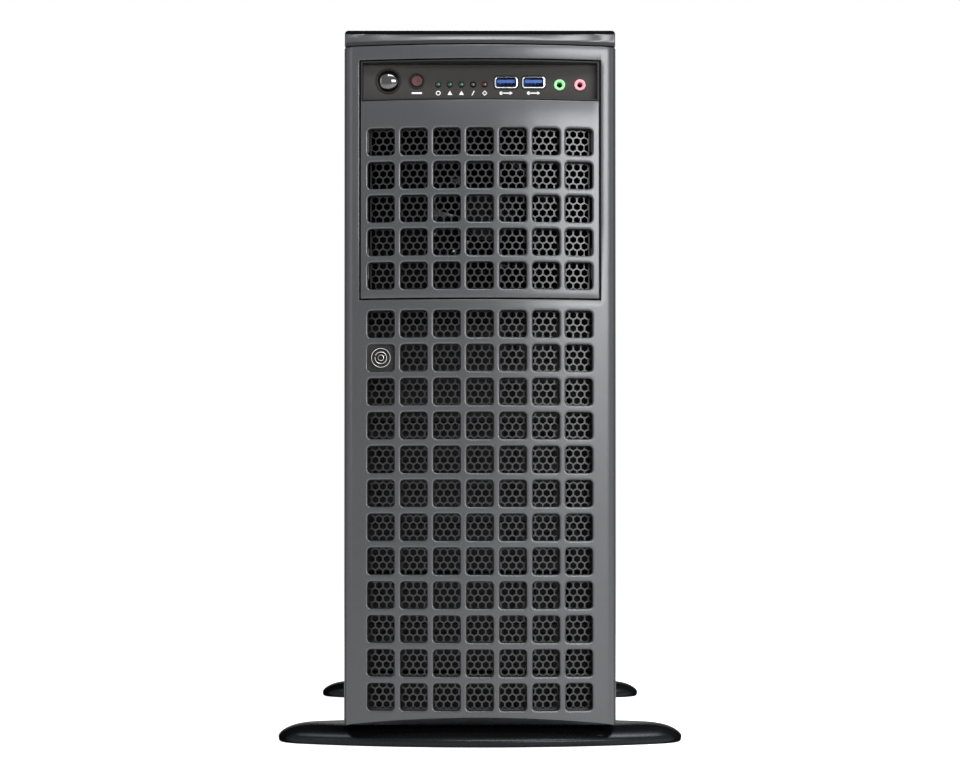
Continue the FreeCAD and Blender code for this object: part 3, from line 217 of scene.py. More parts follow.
GRAPHITE = Finish("graphite_paint", (0.041, 0.042, 0.046), 0.3, 0.3, grain_size=0.0005,
                  contrast=0.16, bump=0.12)
MODULE = Finish("module_plastic", (0.012, 0.012, 0.0125), 0.55, specular=0.15)
PANEL = Finish("panel_plastic", (0.034, 0.0325, 0.0315), 0.55, specular=0.1, grain_size=0.0004,
               bump=0.25)
MESH_BLACK = Finish("mesh_black", (0.012, 0.012, 0.0125), 0.3, 0.2)
FOOT = Finish("foot_plastic", (0.0145, 0.015, 0.0165), 0.27, 0.8, 0.0, grain_size=0.0007,
              bump=0.06, edge_tint=0.25)
# Near-black finish of the cap's round edge, darker than the black cap: a painted dark reflection
# along the round.
CAP_EDGE_DARK_REFLECTION = Finish("cap_edge", (0.003, 0.003, 0.0033), 0.45, 0.5, 0.0, edge_tint=0.25)
RUBBER = Finish("pad_rubber", (0.02, 0.02, 0.02), 0.85, specular=0.2)
CASE = Finish("case_paint", (0.02, 0.02, 0.022), 0.65, specular=0.12, bump=0.3)
ZINC = Finish("inner_steel", (0.33, 0.335, 0.345), 0.4, 1.0, grain=Grain.BRUSHED, contrast=0.2)
# Near-black finish for inner steel that is bare zinc on the real case: painted shade of the dark
# inside.
INNER_PAINTED_SHADE = Finish("bay_steel_painted_shade", (0.007, 0.007, 0.0075), 0.5, specular=0.08)
LOCK = Finish("lock_metal", (0.5, 0.49, 0.47), 0.3, 1.0, contrast=0.08, bump=0.03)
BLACK = Finish("black_plastic", (0.011, 0.011, 0.0115), 0.5, specular=0.15)
BUTTON = Finish("button_gloss", (0.004, 0.004, 0.0045), 0.06, specular=1.0, contrast=0.05, bump=0.0)
RESET = Finish("button_matte", (0.055, 0.017, 0.018), 0.55, specular=0.3)
GREEN_LENS = Finish("light_green", (0.006, 0.035, 0.016), 0.12, bump=0.0)
CLEAR_LENS = Finish("light_clear", (0.07, 0.07, 0.065), 0.12, bump=0.0)
RED_LENS = Finish("light_red", (0.045, 0.008, 0.008), 0.12, bump=0.0)
NICKEL = Finish("socket_metal", (0.66, 0.66, 0.67), 0.25, 1.0, grain=Grain.BRUSHED, contrast=0.1)
SHIELD = Finish("shield_metal", (0.42, 0.42, 0.43), 0.33, 1.0, grain=Grain.BRUSHED, contrast=0.12)
BLUE = Finish("usb_blue", (0.014, 0.085, 0.36), 0.4, contrast=0.1)
GREEN = Finish("jack_green", (0.24, 0.56, 0.26), 0.4, contrast=0.08)
PINK = Finish("jack_pink", (0.72, 0.26, 0.31), 0.4, contrast=0.08)
CIRCUIT = Finish("circuit_green", (0.012, 0.05, 0.025), 0.35, grain_size=0.002, contrast=0.35)
CARRIER = Finish("carrier_plastic", (0.01, 0.01, 0.0105), 0.5, specular=0.12)
# Drive bodies: dark coated metal, made darker still as painted shade of the bays' dark inside.
DRIVE_COAT_AND_SHADE = Finish("drive_metal", (0.016, 0.016, 0.017), 0.45, 0.3, 0.15, contrast=0.15)
FAN = Finish("fan_plastic", (0.014, 0.014, 0.015), 0.45, specular=0.3)
ROTOR = Finish("rotor_plastic", (0.022, 0.022, 0.024), 0.4, specular=0.3)
FINS = Finish("heatsink_metal", (0.6, 0.6, 0.61), 0.35, 1.0, grain=Grain.BRUSHED)
COOLER = Finish("cooler_shell", (0.03, 0.032, 0.035), 0.45, specular=0.35)
BRASS = Finish("standoff_brass", (0.6, 0.42, 0.14), 0.3, 1.0)
SUPPLY = Finish("supply_metal", (0.27, 0.27, 0.28), 0.46, 1.0, grain=Grain.BRUSHED, contrast=0.18)
LATCH = Finish("latch_plastic", (0.2, 0.02, 0.02), 0.4)
MARK = Finish("mark_white", (0.75, 0.75, 0.74), 0.6, specular=0.2, contrast=0.05)

# Finish of each slot of the record: a slot has its finish's name, but for two.
BY_SLOT: dict[str, Finish] = {"bezel_finish": GRAPHITE, "light_lens": GREEN_LENS} | {
    finish.name: finish for finish in (
        MODULE, PANEL, MESH_BLACK, FOOT, RUBBER, CASE, ZINC, LOCK, BUTTON, RESET, NICKEL, BLUE,
        GREEN, PINK, CIRCUIT, CARRIER, DRIVE_COAT_AND_SHADE, FAN, ROTOR, FINS, COOLER, BRASS, SUPPLY, LATCH,
    )
}

# Nodes that look different from the rest of their slot: the inner steel of the bays, drive cage,
# fan wall and lock cam takes a near-black finish, painted shade for the dark inside of the case;
# the port shield takes its own metal.
BY_NODE: dict[str, Finish] = {
    "bay_cage": INNER_PAINTED_SHADE, "front_frame": INNER_PAINTED_SHADE, "drive_cage": INNER_PAINTED_SHADE, "fan_wall": INNER_PAINTED_SHADE,
    "lock_cam": INNER_PAINTED_SHADE, "port_shield": SHIELD,
}


# Surfaces


def stand(outline: np.ndarray, depth: np.ndarray | float) -> np.ndarray:
    """Stands an outline of x and z at a depth, given for each point or for all."""
    return np.column_stack([outline[:, 0], np.broadcast_to(depth, len(outline)), outline[:, 1]])


def oblong(low: Pair, high: Pair) -> np.ndarray:
    """Gives the outline of an oblong between two corners."""
    return np.array([low, (high[0], low[1]), high, (low[0], high[1])])


def ngon(radius: float, sides: int, start: float = 0.0) -> np.ndarray:
    """Gives a regular outline of that radius, from a start angle in degrees."""
    angle = np.radians(start) + ROUND * np.arange(sides) / sides
    return radius * np.stack([np.cos(angle), np.sin(angle)], axis=1)


def quarter_rows(radius: float) -> list[Pair]:
    """Gives rows of a quarter round: at t, radius sin t outwards and radius (1 - cos t) back."""
    turn = np.linspace(0.0, QUARTER, 4)
    return list(zip(radius * np.sin(turn), radius * (1.0 - np.cos(turn))))


def rim_loop(x: np.ndarray, z: np.ndarray) -> tuple[np.ndarray, np.ndarray]:
    """Walks round the border of a grid of lines, from its lower left.

    Args:
        x: Rising lines of x.
        z: Rising lines of z.

    Returns:
        Points (n, 2) of x and z, and the way outwards at each, (n, 2), slanted at the corners.
    """
    sides = [
        (x, np.full_like(x, z[0])), (np.full_like(z, x[-1]), z),
        (x[::-1], np.full_like(x, z[-1])), (np.full_like(z, x[0]), z[::-1]),
    ]
    loop = np.concatenate([np.stack(side, 1)[:-1] for side in sides])
    low, high = loop.min(axis=0), loop.max(axis=0)
    return loop, 1.0 * (loop > high - NEAR) - 1.0 * (loop < low + NEAR)


def plate_net(x: np.ndarray, z: np.ndarray, y: np.ndarray | float) -> np.ndarray:
    """Lays a grid over lines of x and z, with depth y given for each point or for all."""
    grid_x, grid_z = np.meshgrid(x, z, indexing="ij")
    return np.stack([grid_x, np.broadcast_to(y, grid_x.shape), grid_z], axis=-1)


def lathe(rows: Iterable[Pair], centre: Triple, steps: int = 48) -> np.ndarray:
    """Turns a profile round a line along the depth.

    The point at angle a of the row (radius, depth) is the centre plus
    (radius cos a, depth, radius sin a).

    Args:
        rows: Radius and depth of each row.
        centre: Point on the axis that depth counts from.
        steps: Points round the axis.

    Returns:
        Grid of points (rows, steps, 3), closed in its second direction.
    """
    table = np.asarray(list(rows), float)
    angle = np.linspace(0.0, ROUND, steps, endpoint=False)
    net = np.empty((len(table), steps, 3))
    net[..., 0] = centre[0] + table[:, :1] * np.cos(angle)
    net[..., 1] = centre[1] + table[:, 1:2]
    net[..., 2] = centre[2] + table[:, :1] * np.sin(angle)
    return net


def weld(mesh: bpy.types.Mesh, smooth: float, flat: float = 0.0) -> None:
    """Welds a mesh, turns its faces outwards and shades it by angle.

    Args:
        mesh: Mesh to work on.
        smooth: Angle in degrees under which faces shade as one.
        flat: Angle in degrees under which faces are merged into one, or zero for none.
    """
    work = bmesh.new()
    work.from_mesh(mesh)
    bmesh.ops.remove_doubles(work, verts=work.verts, dist=WELD)
    if flat:
        bmesh.ops.dissolve_limit(
            work, angle_limit=math.radians(flat), verts=work.verts, edges=work.edges)
    else:
        bmesh.ops.dissolve_degenerate(work, edges=work.edges, dist=SLIVER)
    bmesh.ops.recalc_face_normals(work, faces=work.faces)
    work.to_mesh(mesh)
    work.free()
    mesh.polygons.foreach_set("use_smooth", np.ones(len(mesh.polygons), bool))
    mesh.set_sharp_from_angle(angle=math.radians(smooth))


def enter(name: str, data: bpy.types.ID) -> bpy.types.Object:
    """Enters a mesh, lamp or camera into the scene as an object at the origin.

    Args:
        name: Name of the object.
        data: What it shows.

    Returns:
        The object.
    """
    made = bpy.data.objects.new(name, data)
    bpy.context.scene.collection.objects.link(made)
    return made


class Piece:
    """Gathers points and faces of one piece in millimetres, then makes its object."""

    def __init__(self, name: str, body: str, slot: str) -> None:
        """Starts an empty piece.

        Args:
            name: Name of the finished object.
            body: Body of the frame that it rides on.
            slot: Material slot of the record.
        """
        self.name = name
        self.body = body
        self.slot = slot
        self.points: list[np.ndarray] = []
        self.faces: list[list[int]] = []
        self.marks: list[int] = []
        self.count = 0

    def add(self, points: np.ndarray, faces: np.ndarray, mark: int = 0) -> None:
        """Adds points with faces that count from the first of them.

        Args:
            points: Array of points, (..., 3).
            faces: Faces by point number, one to a row.
            mark: Which of the piece's finishes they take.
        """
        self.points.append(np.array(points, float).reshape(-1, 3))
        self.faces.extend((faces + self.count).tolist())
        self.marks.extend([mark] * len(faces))
        self.count += len(self.points[-1])

    def net(
        self, net: np.ndarray, round_u: bool = False, round_v: bool = False,
        mark: int = 0, mask: np.ndarray | None = None,
    ) -> None:
        """Adds a grid of points (u, v, 3) as quads, each cell one quad.

        Args:
            net: Points of the grid.
            round_u: Whether the last row joins the first.
            round_v: Whether the last column joins the first.
            mark: Which of the piece's finishes it takes.
            mask: Cells that are filled, or all of them.
        """
        rows, columns = net.shape[:2]
        index = np.arange(rows * columns).reshape(rows, columns)
        if round_u:
            index = np.vstack([index, index[:1]])
        if round_v:
            index = np.hstack([index, index[:, :1]])
        quads = np.stack([index[:-1, :-1], index[1:, :-1], index[1:, 1:], index[:-1, 1:]], axis=-1)
        self.add(net, quads[mask] if mask is not None else quads.reshape(-1, 4), mark)

    def cap(self, loop: np.ndarray, mark: int = 0) -> None:
        """Adds one face over a closed loop of points."""
        self.add(loop, np.arange(len(loop))[None], mark)

    def tube(self, net: np.ndarray, mark: int = 0) -> None:
        """Adds a grid that is closed in its second direction, with a face over each end.

        Args:
            net: Points of the grid.
            mark: Which of the piece's finishes it takes.
        """
        self.net(net, round_v=True, mark=mark)
        self.cap(net[0], mark)
        self.cap(net[-1], mark)

    def prism(self, outline: np.ndarray, ends: Pair, mark: int = 0) -> None:
        """Adds a closed prism: an outline of x and z carried from one depth to another."""
        self.tube(np.stack([stand(outline, depth) for depth in ends]), mark)

    def turned(
        self, rows: Iterable[Pair], centre: Triple, mark: int = 0, steps: int = 48,
        closed: bool = False,
    ) -> None:
        """Adds a profile turned round a line along the depth, closed on itself where asked for."""
        self.net(lathe(rows, centre, steps), round_u=closed, round_v=True, mark=mark)

    def make(
        self, finishes: Sequence[Finish], stands_for: Sequence[str] = (), smooth: float = 38.0,
        wall: float = 0.0,
    ) -> None:
        """Makes the object, at the origin: welds it, dresses it and sets it on its body.

        Args:
            finishes: Finishes in the order of the marks.
            stands_for: Nodes of the frame that it replaces.
            smooth: Angle in degrees under which faces shade as one.
            wall: Thickness given inwards to an open surface.
        """
        mesh = bpy.data.meshes.new(self.name)
        mesh.from_pydata((np.vstack(self.points) * MM).tolist(), [], self.faces)
        mesh.polygons.foreach_set("material_index", np.asarray(self.marks, np.int32))
        weld(mesh, smooth)
        self._sharpen_rims(mesh)
        for finish in finishes:
            mesh.materials.append(finish.material())
        made = enter(self.name, mesh)
        if wall:
            shell = made.modifiers.new("wall", "SOLIDIFY")
            shell.thickness = wall * MM
            shell.offset = -1.0
            shell.use_even_offset = True
            shell.material_offset = 1
        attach(made, self.body)
        if stands_for:
            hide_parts(*stands_for)
        LOG.info("%s: %d faces on %s", self.name, len(mesh.polygons), self.body)

    @staticmethod
    def _sharpen_rims(mesh: bpy.types.Mesh) -> None:
        """Marks edges with a single face as sharp, so that a wall given there keeps a crisp rim.

        Args:
            mesh: Mesh to work on.
        """
        edge_of_loop = np.empty(len(mesh.loops), np.int32)
        mesh.loops.foreach_get("edge_index", edge_of_loop)
        rim = np.bincount(edge_of_loop, minlength=len(mesh.edges)) == 1
        if not rim.any():
            return
        sharp = mesh.attributes.get("sharp_edge")
        if sharp is None:
            sharp = mesh.attributes.new("sharp_edge", "BOOLEAN", "EDGE")
        marked = np.empty(len(mesh.edges), bool)
        sharp.data.foreach_get("value", marked)
        sharp.data.foreach_set("value", marked | rim)


@dataclass(frozen=True)
class Bow:
    """Convex front of the door: an arc in plan with rounded uprights."""

    crown: float = -336.5
    radius: float = 361.0
    half: float = 88.5
    corner: float = 8.0
    notch_front: float = -316.5
    hinge_front: float = -308.0
    back: float = -299.5

    def depth(self, x: np.ndarray | float, set_back: float = 0.0) -> np.ndarray:
        """Depth of the arc at x, set back concentrically: crown plus radius less its height."""
        return self.crown + self.radius - np.sqrt((self.radius - set_back) ** 2 - np.square(x))

    def side_plane(self) -> float:
        """Depth of the arc where it would meet the sides."""
        return float(self.depth(self.half))

    def outline(self, across: np.ndarray, inset: float = 0.0, steps: int = 6) -> np.ndarray:
        """Plan outline from the left back, round the front, to the right back.

        The arc is crossed at the given x, and each upright is a quarter round; an inset moves
        every point inwards along the outline's normal.

        Args:
            across: Lines of x on the arc, rising.
            inset: Distance inwards.
            steps: Segments of each upright's round.

        Returns:
            Points (n, 2) of x and y.
        """
        centre_x = self.half - self.corner
        centre_y = float(self.depth(centre_x, self.corner))
        start = math.asin(centre_x / (self.radius - self.corner))
        turn = start + np.linspace(0.0, QUARTER - start, steps + 1)
        reach = self.corner - inset
        right = np.stack([centre_x + reach * np.sin(turn), centre_y - reach * np.cos(turn)], axis=1)
        wall_y = np.array([self.notch_front, self.hinge_front, self.back])
        wall = np.stack([np.full(3, self.half - inset), wall_y], axis=1)
        arc_x = across * (self.radius - inset) / self.radius
        arc = np.stack([arc_x, self.depth(arc_x, inset)], axis=1)
        side = np.vstack([right, wall])
        left = side[::-1] * np.array([-1.0, 1.0])
        return np.vstack([left, arc, side])

    def carry(self, loop: np.ndarray, way: np.ndarray, rows: Iterable[Pair]) -> np.ndarray:
        """Carries a loop that lies on the bow through rows.

        Args:
            loop: Points (n, 2) of x and z.
            way: Way of growth at each point, (n, 2).
            rows: Growth, and depth behind the bow, of each row.

        Returns:
            Grid of points (rows, n, 3), closed in its second direction.
        """
        front = self.depth(loop[:, 0])
        return np.stack([stand(loop + way * grow, front + deep) for grow, deep in rows])


BOW = Bow()


@dataclass(frozen=True)
class CellField:
    """Field of rounded square openings on the bow."""

    columns: int
    rows: int
    low: float
    row_pitch: float
    pitch: float = 21.4
    side: float = 17.4
    corner: float = 2.3
    rim: float = 1.2
    flat: float = 0.3
    draft: float = 0.15
    depth: float = 7.0
    arc_steps: int = 4

    def straight(self) -> float:
        """Half the straight part of an opening's side."""
        return self.side / 2 - self.corner

    def lines(self, count: int, first: float, pitch: float) -> np.ndarray:
        """Grid lines through a run of cells: borders, and the ends of the openings' straights.

        Args:
            count: Cells in the run.
            first: Middle of the first cell.
            pitch: Distance of cells.

        Returns:
            Rising positions.
        """
        straight, half = self.straight(), pitch / 2
        middle = (straight + half) / 2
        marks = np.array([-half, -middle, -straight, straight, middle])
        runs = first + pitch * np.arange(count)[:, None] + marks
        return np.append(runs.ravel(), first + pitch * (count - 1) + half)

    def x_lines(self) -> np.ndarray:
        """Lines of x through the field."""
        return self.lines(self.columns, -self.pitch * (self.columns - 1) / 2, self.pitch)

    def z_lines(self) -> np.ndarray:
        """Lines of z through the field."""
        return self.lines(self.rows, self.low, self.row_pitch)

    def opening(self, grow: float) -> np.ndarray:
        """Outline of one opening about its middle, grown outwards.

        Each corner is a quarter round of the corner radius plus the growth.

        Args:
            grow: Distance outwards from the opening's walls.

        Returns:
            Points (4 * (arc steps + 1), 2), from the right side's upper end upwards and round.
        """
        straight = self.straight()
        reach = self.corner + grow
        angle = np.linspace(0.0, QUARTER, self.arc_steps + 1)
        turn = np.arange(4)[:, None] * QUARTER + angle
        x = np.array([1, -1, -1, 1])[:, None] * straight + reach * np.cos(turn)
        z = np.array([1, 1, -1, -1])[:, None] * straight + reach * np.sin(turn)
        return np.stack([x, z], axis=-1).reshape(-1, 2)

    def border(self) -> np.ndarray:
        """Outline of one cell's border.

        Returns:
            Points (20, 2), each opposite the same point of the opening's outline.
        """
        straight = self.straight()
        half_x, half_z = self.pitch / 2, self.row_pitch / 2
        middle_x, middle_z = (straight + half_x) / 2, (straight + half_z) / 2
        quarter = np.array([
            [half_x, straight], [half_x, middle_z], [half_x, half_z],
            [middle_x, half_z], [straight, half_z],
        ])
        turned = [quarter, (quarter * [-1, 1])[::-1], quarter * [-1, -1], (quarter * [1, -1])[::-1]]
        return np.vstack(turned)

    def add_to(self, piece: Piece, mark: int = 0) -> None:
        """Adds every cell: border, flat, rounded rim, wall with draft, and the flat behind.

        The rim's row at angle t is the opening grown by rim (1 - sin t) at depth rim (1 - cos t).
        Paint ends at the rim: the wall and the flat behind take the black of the bare moulding,
        which here also paints the shade inside each opening.

        Args:
            piece: Piece that takes the cells.
            mark: Which of its finishes the front takes; the wall takes the next.
        """
        rows = [(self.rim + self.flat, 0.0)]
        rows += [(self.rim - inset, deep) for inset, deep in quarter_rows(self.rim)]
        painted = len(rows)
        rows += [(-self.draft, self.depth)]
        border = self.border()
        flat = np.stack([border, *(self.opening(grow) for grow, _ in rows), border])
        deep = np.array([0.0, *(depth for _, depth in rows), self.depth])[:, None]
        middles_x = self.pitch * (np.arange(self.columns) - (self.columns - 1) / 2)
        middles_z = self.low + self.row_pitch * np.arange(self.rows)
        for middle_x in middles_x:
            for middle_z in middles_z:
                x = middle_x + flat[..., 0]
                net = np.stack([x, BOW.depth(x) + deep, middle_z + flat[..., 1]], axis=-1)
                piece.net(net[:painted + 1], round_v=True, mark=mark)
                # Wall and flat behind take the next finish, black: bare moulding and painted shade
                # inside the opening.
                piece.net(net[painted:], round_v=True, mark=mark + 1)


@dataclass
class GrillePlate:
    """Bowed plate with a field of openings and plain margins, as a closed solid."""

    name: str
    body: str
    half: float
    low: float
    high: float
    cells: CellField
    edge: float = 0.0

    def build(self) -> Piece:
        """Builds the plate: margins in front and behind, cells, and the rim all round.

        Returns:
            The piece, not made yet.
        """
        piece = Piece(self.name, self.body, "bezel_finish")
        thick = self.cells.depth
        side = self.half - self.edge
        x = np.concatenate([[-side], self.cells.x_lines(), [side]])
        z = np.concatenate([[self.low + self.edge], self.cells.z_lines(), [self.high - self.edge]])
        mask = np.ones((len(x) - 1, len(z) - 1), bool)
        mask[1:-1, 1:-1] = False
        front = BOW.depth(x)[:, None]
        piece.net(plate_net(x, z, front), mask=mask)
        piece.net(plate_net(x, z, front + thick), mask=mask, mark=1)
        self.cells.add_to(piece)
        rows = [(0.0, 0.0), (0.0, thick)]
        if self.edge:
            rows = [*quarter_rows(self.edge), (self.edge, thick), (0.0, thick)]
        piece.net(BOW.carry(*rim_loop(x, z), rows), round_v=True)
        return piece


@dataclass
class HexSheet:
    """Thin sheet, bowed or flat, with hexagonal holes standing on their points."""

    name: str
    body: str
    half: float
    low: float
    high: float
    set_back: float = 7.3
    sheet: float = 0.8
    pitch: float = 4.95
    web: float = 0.95
    drop: float = 0.0
    border: float = 1.9
    strip: float = 2.2
    margin: float = 2.4
    proud: float = 0.05
    across: float = 0.0
    plane: float | None = None
    slot: str = "mesh_black"

    def depth(self, x: np.ndarray) -> np.ndarray:
        """Depth of the sheet's face: set back from the bow, or one plane for a flat sheet."""
        return BOW.depth(x) + self.set_back if self.plane is None else np.full_like(x, self.plane)

    def build(self, hole: Triple | None = None) -> Piece:
        """Builds the perforation and a plain border strip behind its ragged edge.

        Hexagon corner k lies at 30 + 60 k degrees; each hole's flat is the pitch less the web.
        A hole's four loops are the front's outer and inner one, then the back's inner and outer.

        Args:
            hole: Middle x, middle z and half side of a square that stays open.

        Returns:
            The piece, not made yet.
        """
        piece = Piece(self.name, self.body, self.slot)
        step_z = self.pitch * math.sqrt(3.0) / 2
        columns = int(2 * self.half / self.pitch - 0.5)
        rows = int((self.high - self.low - self.margin) / step_z)
        row, column = np.meshgrid(np.arange(rows), np.arange(columns), indexing="ij")
        shift = 0.25 - 0.5 * (row % 2)
        x = self.across + (column - (columns - 1) / 2 + shift) * self.pitch
        z = (self.low + self.high) / 2 - self.drop + (row - (rows - 1) / 2) * step_z
        middle = np.stack([x.ravel(), z.ravel()], axis=1)
        if hole is not None:
            apart = np.max(np.abs(middle - np.array(hole[:2])), axis=1)
            middle = middle[apart > hole[2]]
        outer = self.pitch / math.sqrt(3.0)
        inner = (self.pitch - self.web) / math.sqrt(3.0)
        sizes = np.array([outer, inner, inner, outer])
        deep = np.array([0.0, 0.0, self.sheet, self.sheet])
        flat = middle[:, None, None] + sizes[:, None, None] * ngon(1.0, 6, 30.0)
        depth = self.depth(flat[..., 0]) + deep[:, None]
        points = np.stack([flat[..., 0], depth, flat[..., 1]], axis=-1)
        corner = np.arange(6)
        following = (corner + 1) % 6
        near = np.arange(len(middle))[:, None, None] * 24 + np.arange(3)[:, None] * 6
        far = near + 6
        quads = np.stack([near + corner, near + following, far + following, far + corner], axis=-1)
        piece.add(points, quads.reshape(-1, 4))
        self._border(piece)
        return piece

    def _border(self, piece: Piece) -> None:
        """Adds four plain strips, each a closed bar that follows the sheet.

        Args:
            piece: Piece that takes them.
        """
        x = self.across + np.linspace(-self.half, self.half, 25)
        low, high = self.low + self.strip - self.drop, self.high - self.strip - self.drop
        piece.tube(self._bar(x, self.low, low))
        piece.tube(self._bar(x, high, self.high))
        upright = np.array([self.half - self.border, self.half])
        for ends in (-upright[::-1], upright):
            piece.tube(self._bar(self.across + ends, low, high))

    def _bar(self, x: np.ndarray, low: float, high: float) -> np.ndarray:
        """Carries the four edges of a bar along x, a hair proud of the sheet on both sides.

        Args:
            x: Lines of x.
            low: Lower edge.
            high: Upper edge.

        Returns:
            Grid of points, closed in its second direction.
        """
        front = self.depth(x) - self.proud
        back = front + self.sheet + 2.0 * self.proud
        edges = [(front, low), (front, high), (back, high), (back, low)]
        return np.stack([np.stack([x, deep, np.full_like(x, z)], 1) for deep, z in edges], axis=1)


@dataclass
class Door:
    """Hinged front: shell, grille, mesh and key lock."""

    body: str = "door"
    bottom: float = 14.5
    top: float = 455.3
    wall: float = 2.4
    window_half: float = 78.3
    grille_low: float = 21.7
    grille_high: float = 285.3
    module_half: float = 78.4
    module_low: float = 290.1
    module_high: float = 446.1
    module_wall: float = 6.0
    cross_lines: Pair = (340.0, 400.0)
    rise: float = 5.3
    under_back: float = -319.6
    edge: float = 0.7
    # Slope in plan, in degrees, beyond which the outline is black: unpainted side, and a painted
    # dark reflection on the uprights' rounds.
    black_side_angle: float = 55.0
    knuckles: tuple[Pair, Pair] = ((24.0, 39.0), (441.3, 452.3))
    hinge_edge: float = 79.5
    lock: Pair = (-64.2, 252.3)
    lock_hole: float = 6.35
    lock_sunk: float = 2.0
    lock_back: float = 7.5
    lock_proud: float = 1.8
    lock_turn: float = 75.0
    cells: CellField = CellField(7, 12, 32.8, 21.95)

    def build(self) -> None:
        """Builds every piece of the door."""
        self.shell()
        plate = GrillePlate("door_grille", self.body, self.window_half, self.grille_low,
                            self.grille_high, self.cells).build()
        self.lock_plate(plate)
        plate.make([GRAPHITE, BLACK], ["bezel_grille"])
        sheet = HexSheet("door_mesh", self.body, half=77.0, low=24.2, high=286.8, drop=1.4)
        sheet.build((*self.lock, 8.0)).make([MESH_BLACK], ["bezel_mesh"])
        self.lock_parts()

    def shell(self) -> None:
        """Builds the shell as one open surface with a wall given to it.

        Plan outline carried up through lines of z; below the front's lowest line it turns in under
        the undercut, and above its highest it rounds over into the top plate. Cells stay open at
        the grille, at the bay module, behind the hinge line and round the hinge's knuckles. Paint
        ends where the outline turns steeper than a set angle; the black beyond is the unpainted
        side, and on the uprights' rounds it also paints the dark reflection seen there.
        """
        cut = self.module_half + self.edge
        module_low, module_high = self.module_low - self.edge, self.module_high + self.edge
        across = np.concatenate([
            [-cut, -self.window_half], self.cells.x_lines(), [self.window_half, cut],
        ])
        x, y = BOW.outline(across).T
        z = np.concatenate([
            [0.0, self.grille_low], self.cells.z_lines()[1:-1],
            [self.grille_high, module_low, *self.cross_lines, self.knuckles[1][0]],
            [module_high, self.knuckles[1][1], self.top - self.edge],
        ])
        shape = (len(x), len(z))
        net = np.stack([np.broadcast_to(line, shape) for line in (x[:, None], y[:, None], z)], -1)
        side = BOW.side_plane()
        lift = self.rise * np.clip((side - y) / (side - BOW.crown), 0.0, 1.0)
        net[:, 0, 2] = self.bottom + lift
        mid_x, mid_y, mid_z = ((line[:-1] + line[1:]) / 2 for line in (x, y, z))
        in_grille = (np.abs(mid_x) < self.window_half)[:, None] & (
            (mid_z > self.grille_low) & (mid_z < self.grille_high))
        in_module = (np.abs(mid_x) < cut)[:, None] & ((mid_z > module_low) & (mid_z < module_high))
        on_wall = mid_x > BOW.half - 0.5
        behind_hinge = (on_wall & (mid_y > BOW.hinge_front))[:, None]
        knuckle = np.any([(mid_z > low) & (mid_z < high) for low, high in self.knuckles], axis=0)
        notch = (on_wall & (mid_y > BOW.notch_front))[:, None] & knuckle
        mask = ~(in_grille | in_module | behind_hinge | notch)
        steepest = math.tan(math.radians(self.black_side_angle))
        # Segments flatter than the angle take the graphite paint; the steeper ones take black,
        # which also paints the dark reflection on the uprights' rounds.
        painted = np.abs(np.diff(y)) < steepest * np.abs(np.diff(x))
        piece = Piece("door_shell", self.body, "bezel_finish")
        piece.net(net, mask=mask & painted[:, None])
        piece.net(net, mask=mask & ~painted[:, None], mark=1)
        self._under(piece, net[:, 0])
        self._over(piece, across, painted)
        self._window(piece, z[(z >= module_low - NEAR) & (z <= module_high + NEAR)], across)
        piece.make([GRAPHITE, BLACK, BLACK], ["bezel_frame"], wall=self.wall)

    def _under(self, piece: Piece, lowest: np.ndarray) -> None:
        """Adds the undercut: from the lowest line back and down to the side plane, then level.

        Args:
            piece: Piece that takes it.
            lowest: Points (n, 3) of the front's lowest line.
        """
        first = lowest[np.abs(lowest[:, 0]) < BOW.half - 0.5]
        level = np.full(len(first), self.bottom)
        rows = [first]
        for depth in (BOW.side_plane(), self.under_back):
            rows.append(np.column_stack([first[:, 0], np.maximum(first[:, 1], depth), level]))
        net = np.stack(rows)
        piece.net(net[:2])
        piece.net(net[1:], mark=1)

    def _over(self, piece: Piece, across: np.ndarray, painted: np.ndarray) -> None:
        """Adds the rounded top edge and the plate behind it, open round the hinge.

        Args:
            piece: Piece that takes them.
            across: Lines of x on the arc.
            painted: Which segments of the outline take the graphite paint; the rest take black,
                partly a painted dark reflection.
        """
        loops = []
        for grow, inset in quarter_rows(self.edge):
            plan = BOW.outline(across, inset)
            height = np.full(len(plan), self.top - self.edge + grow)
            loops.append(np.column_stack([plan, height])[:-1])
        part = np.broadcast_to(painted[:-1], (len(loops) - 1, len(painted) - 1))
        piece.net(np.stack(loops), mask=part)
        piece.net(np.stack(loops), mask=~part, mark=1)
        hinge = [(self.hinge_edge, depth, self.top) for depth in (BOW.hinge_front, BOW.back)]
        piece.cap(np.vstack([loops[-1], hinge]))

    def _window(self, piece: Piece, z: np.ndarray, across: np.ndarray) -> None:
        """Adds the rounded rim and the wall of the cut-out for the bay module.

        Args:
            piece: Piece that takes them.
            z: Lines of z beside the cut-out.
            across: Lines of x on the arc.
        """
        loop, out = rim_loop(across, z)
        rows = [*quarter_rows(self.edge), (self.edge, self.module_wall)]
        piece.net(BOW.carry(loop, -out, rows), round_v=True)

    def lock_plate(self, plate: Piece) -> None:
        """Adds the plate that closes the lock's cell, sunk a little, with a hole for the barrel.

        Args:
            plate: Piece that takes it.
        """
        ring = self.cells.opening(0.0)
        hole = self.lock_hole * ring / np.hypot(ring[:, 0], ring[:, 1])[:, None]
        deep = float(BOW.depth(self.lock[0]))
        front, back = deep + self.lock_sunk, deep + self.lock_back
        loops = [(ring, back), (ring, front), (hole, front), (hole, back)]
        net = np.stack([stand(loop + self.lock, depth) for loop, depth in loops])
        plate.net(net, round_u=True, round_v=True, mark=1)

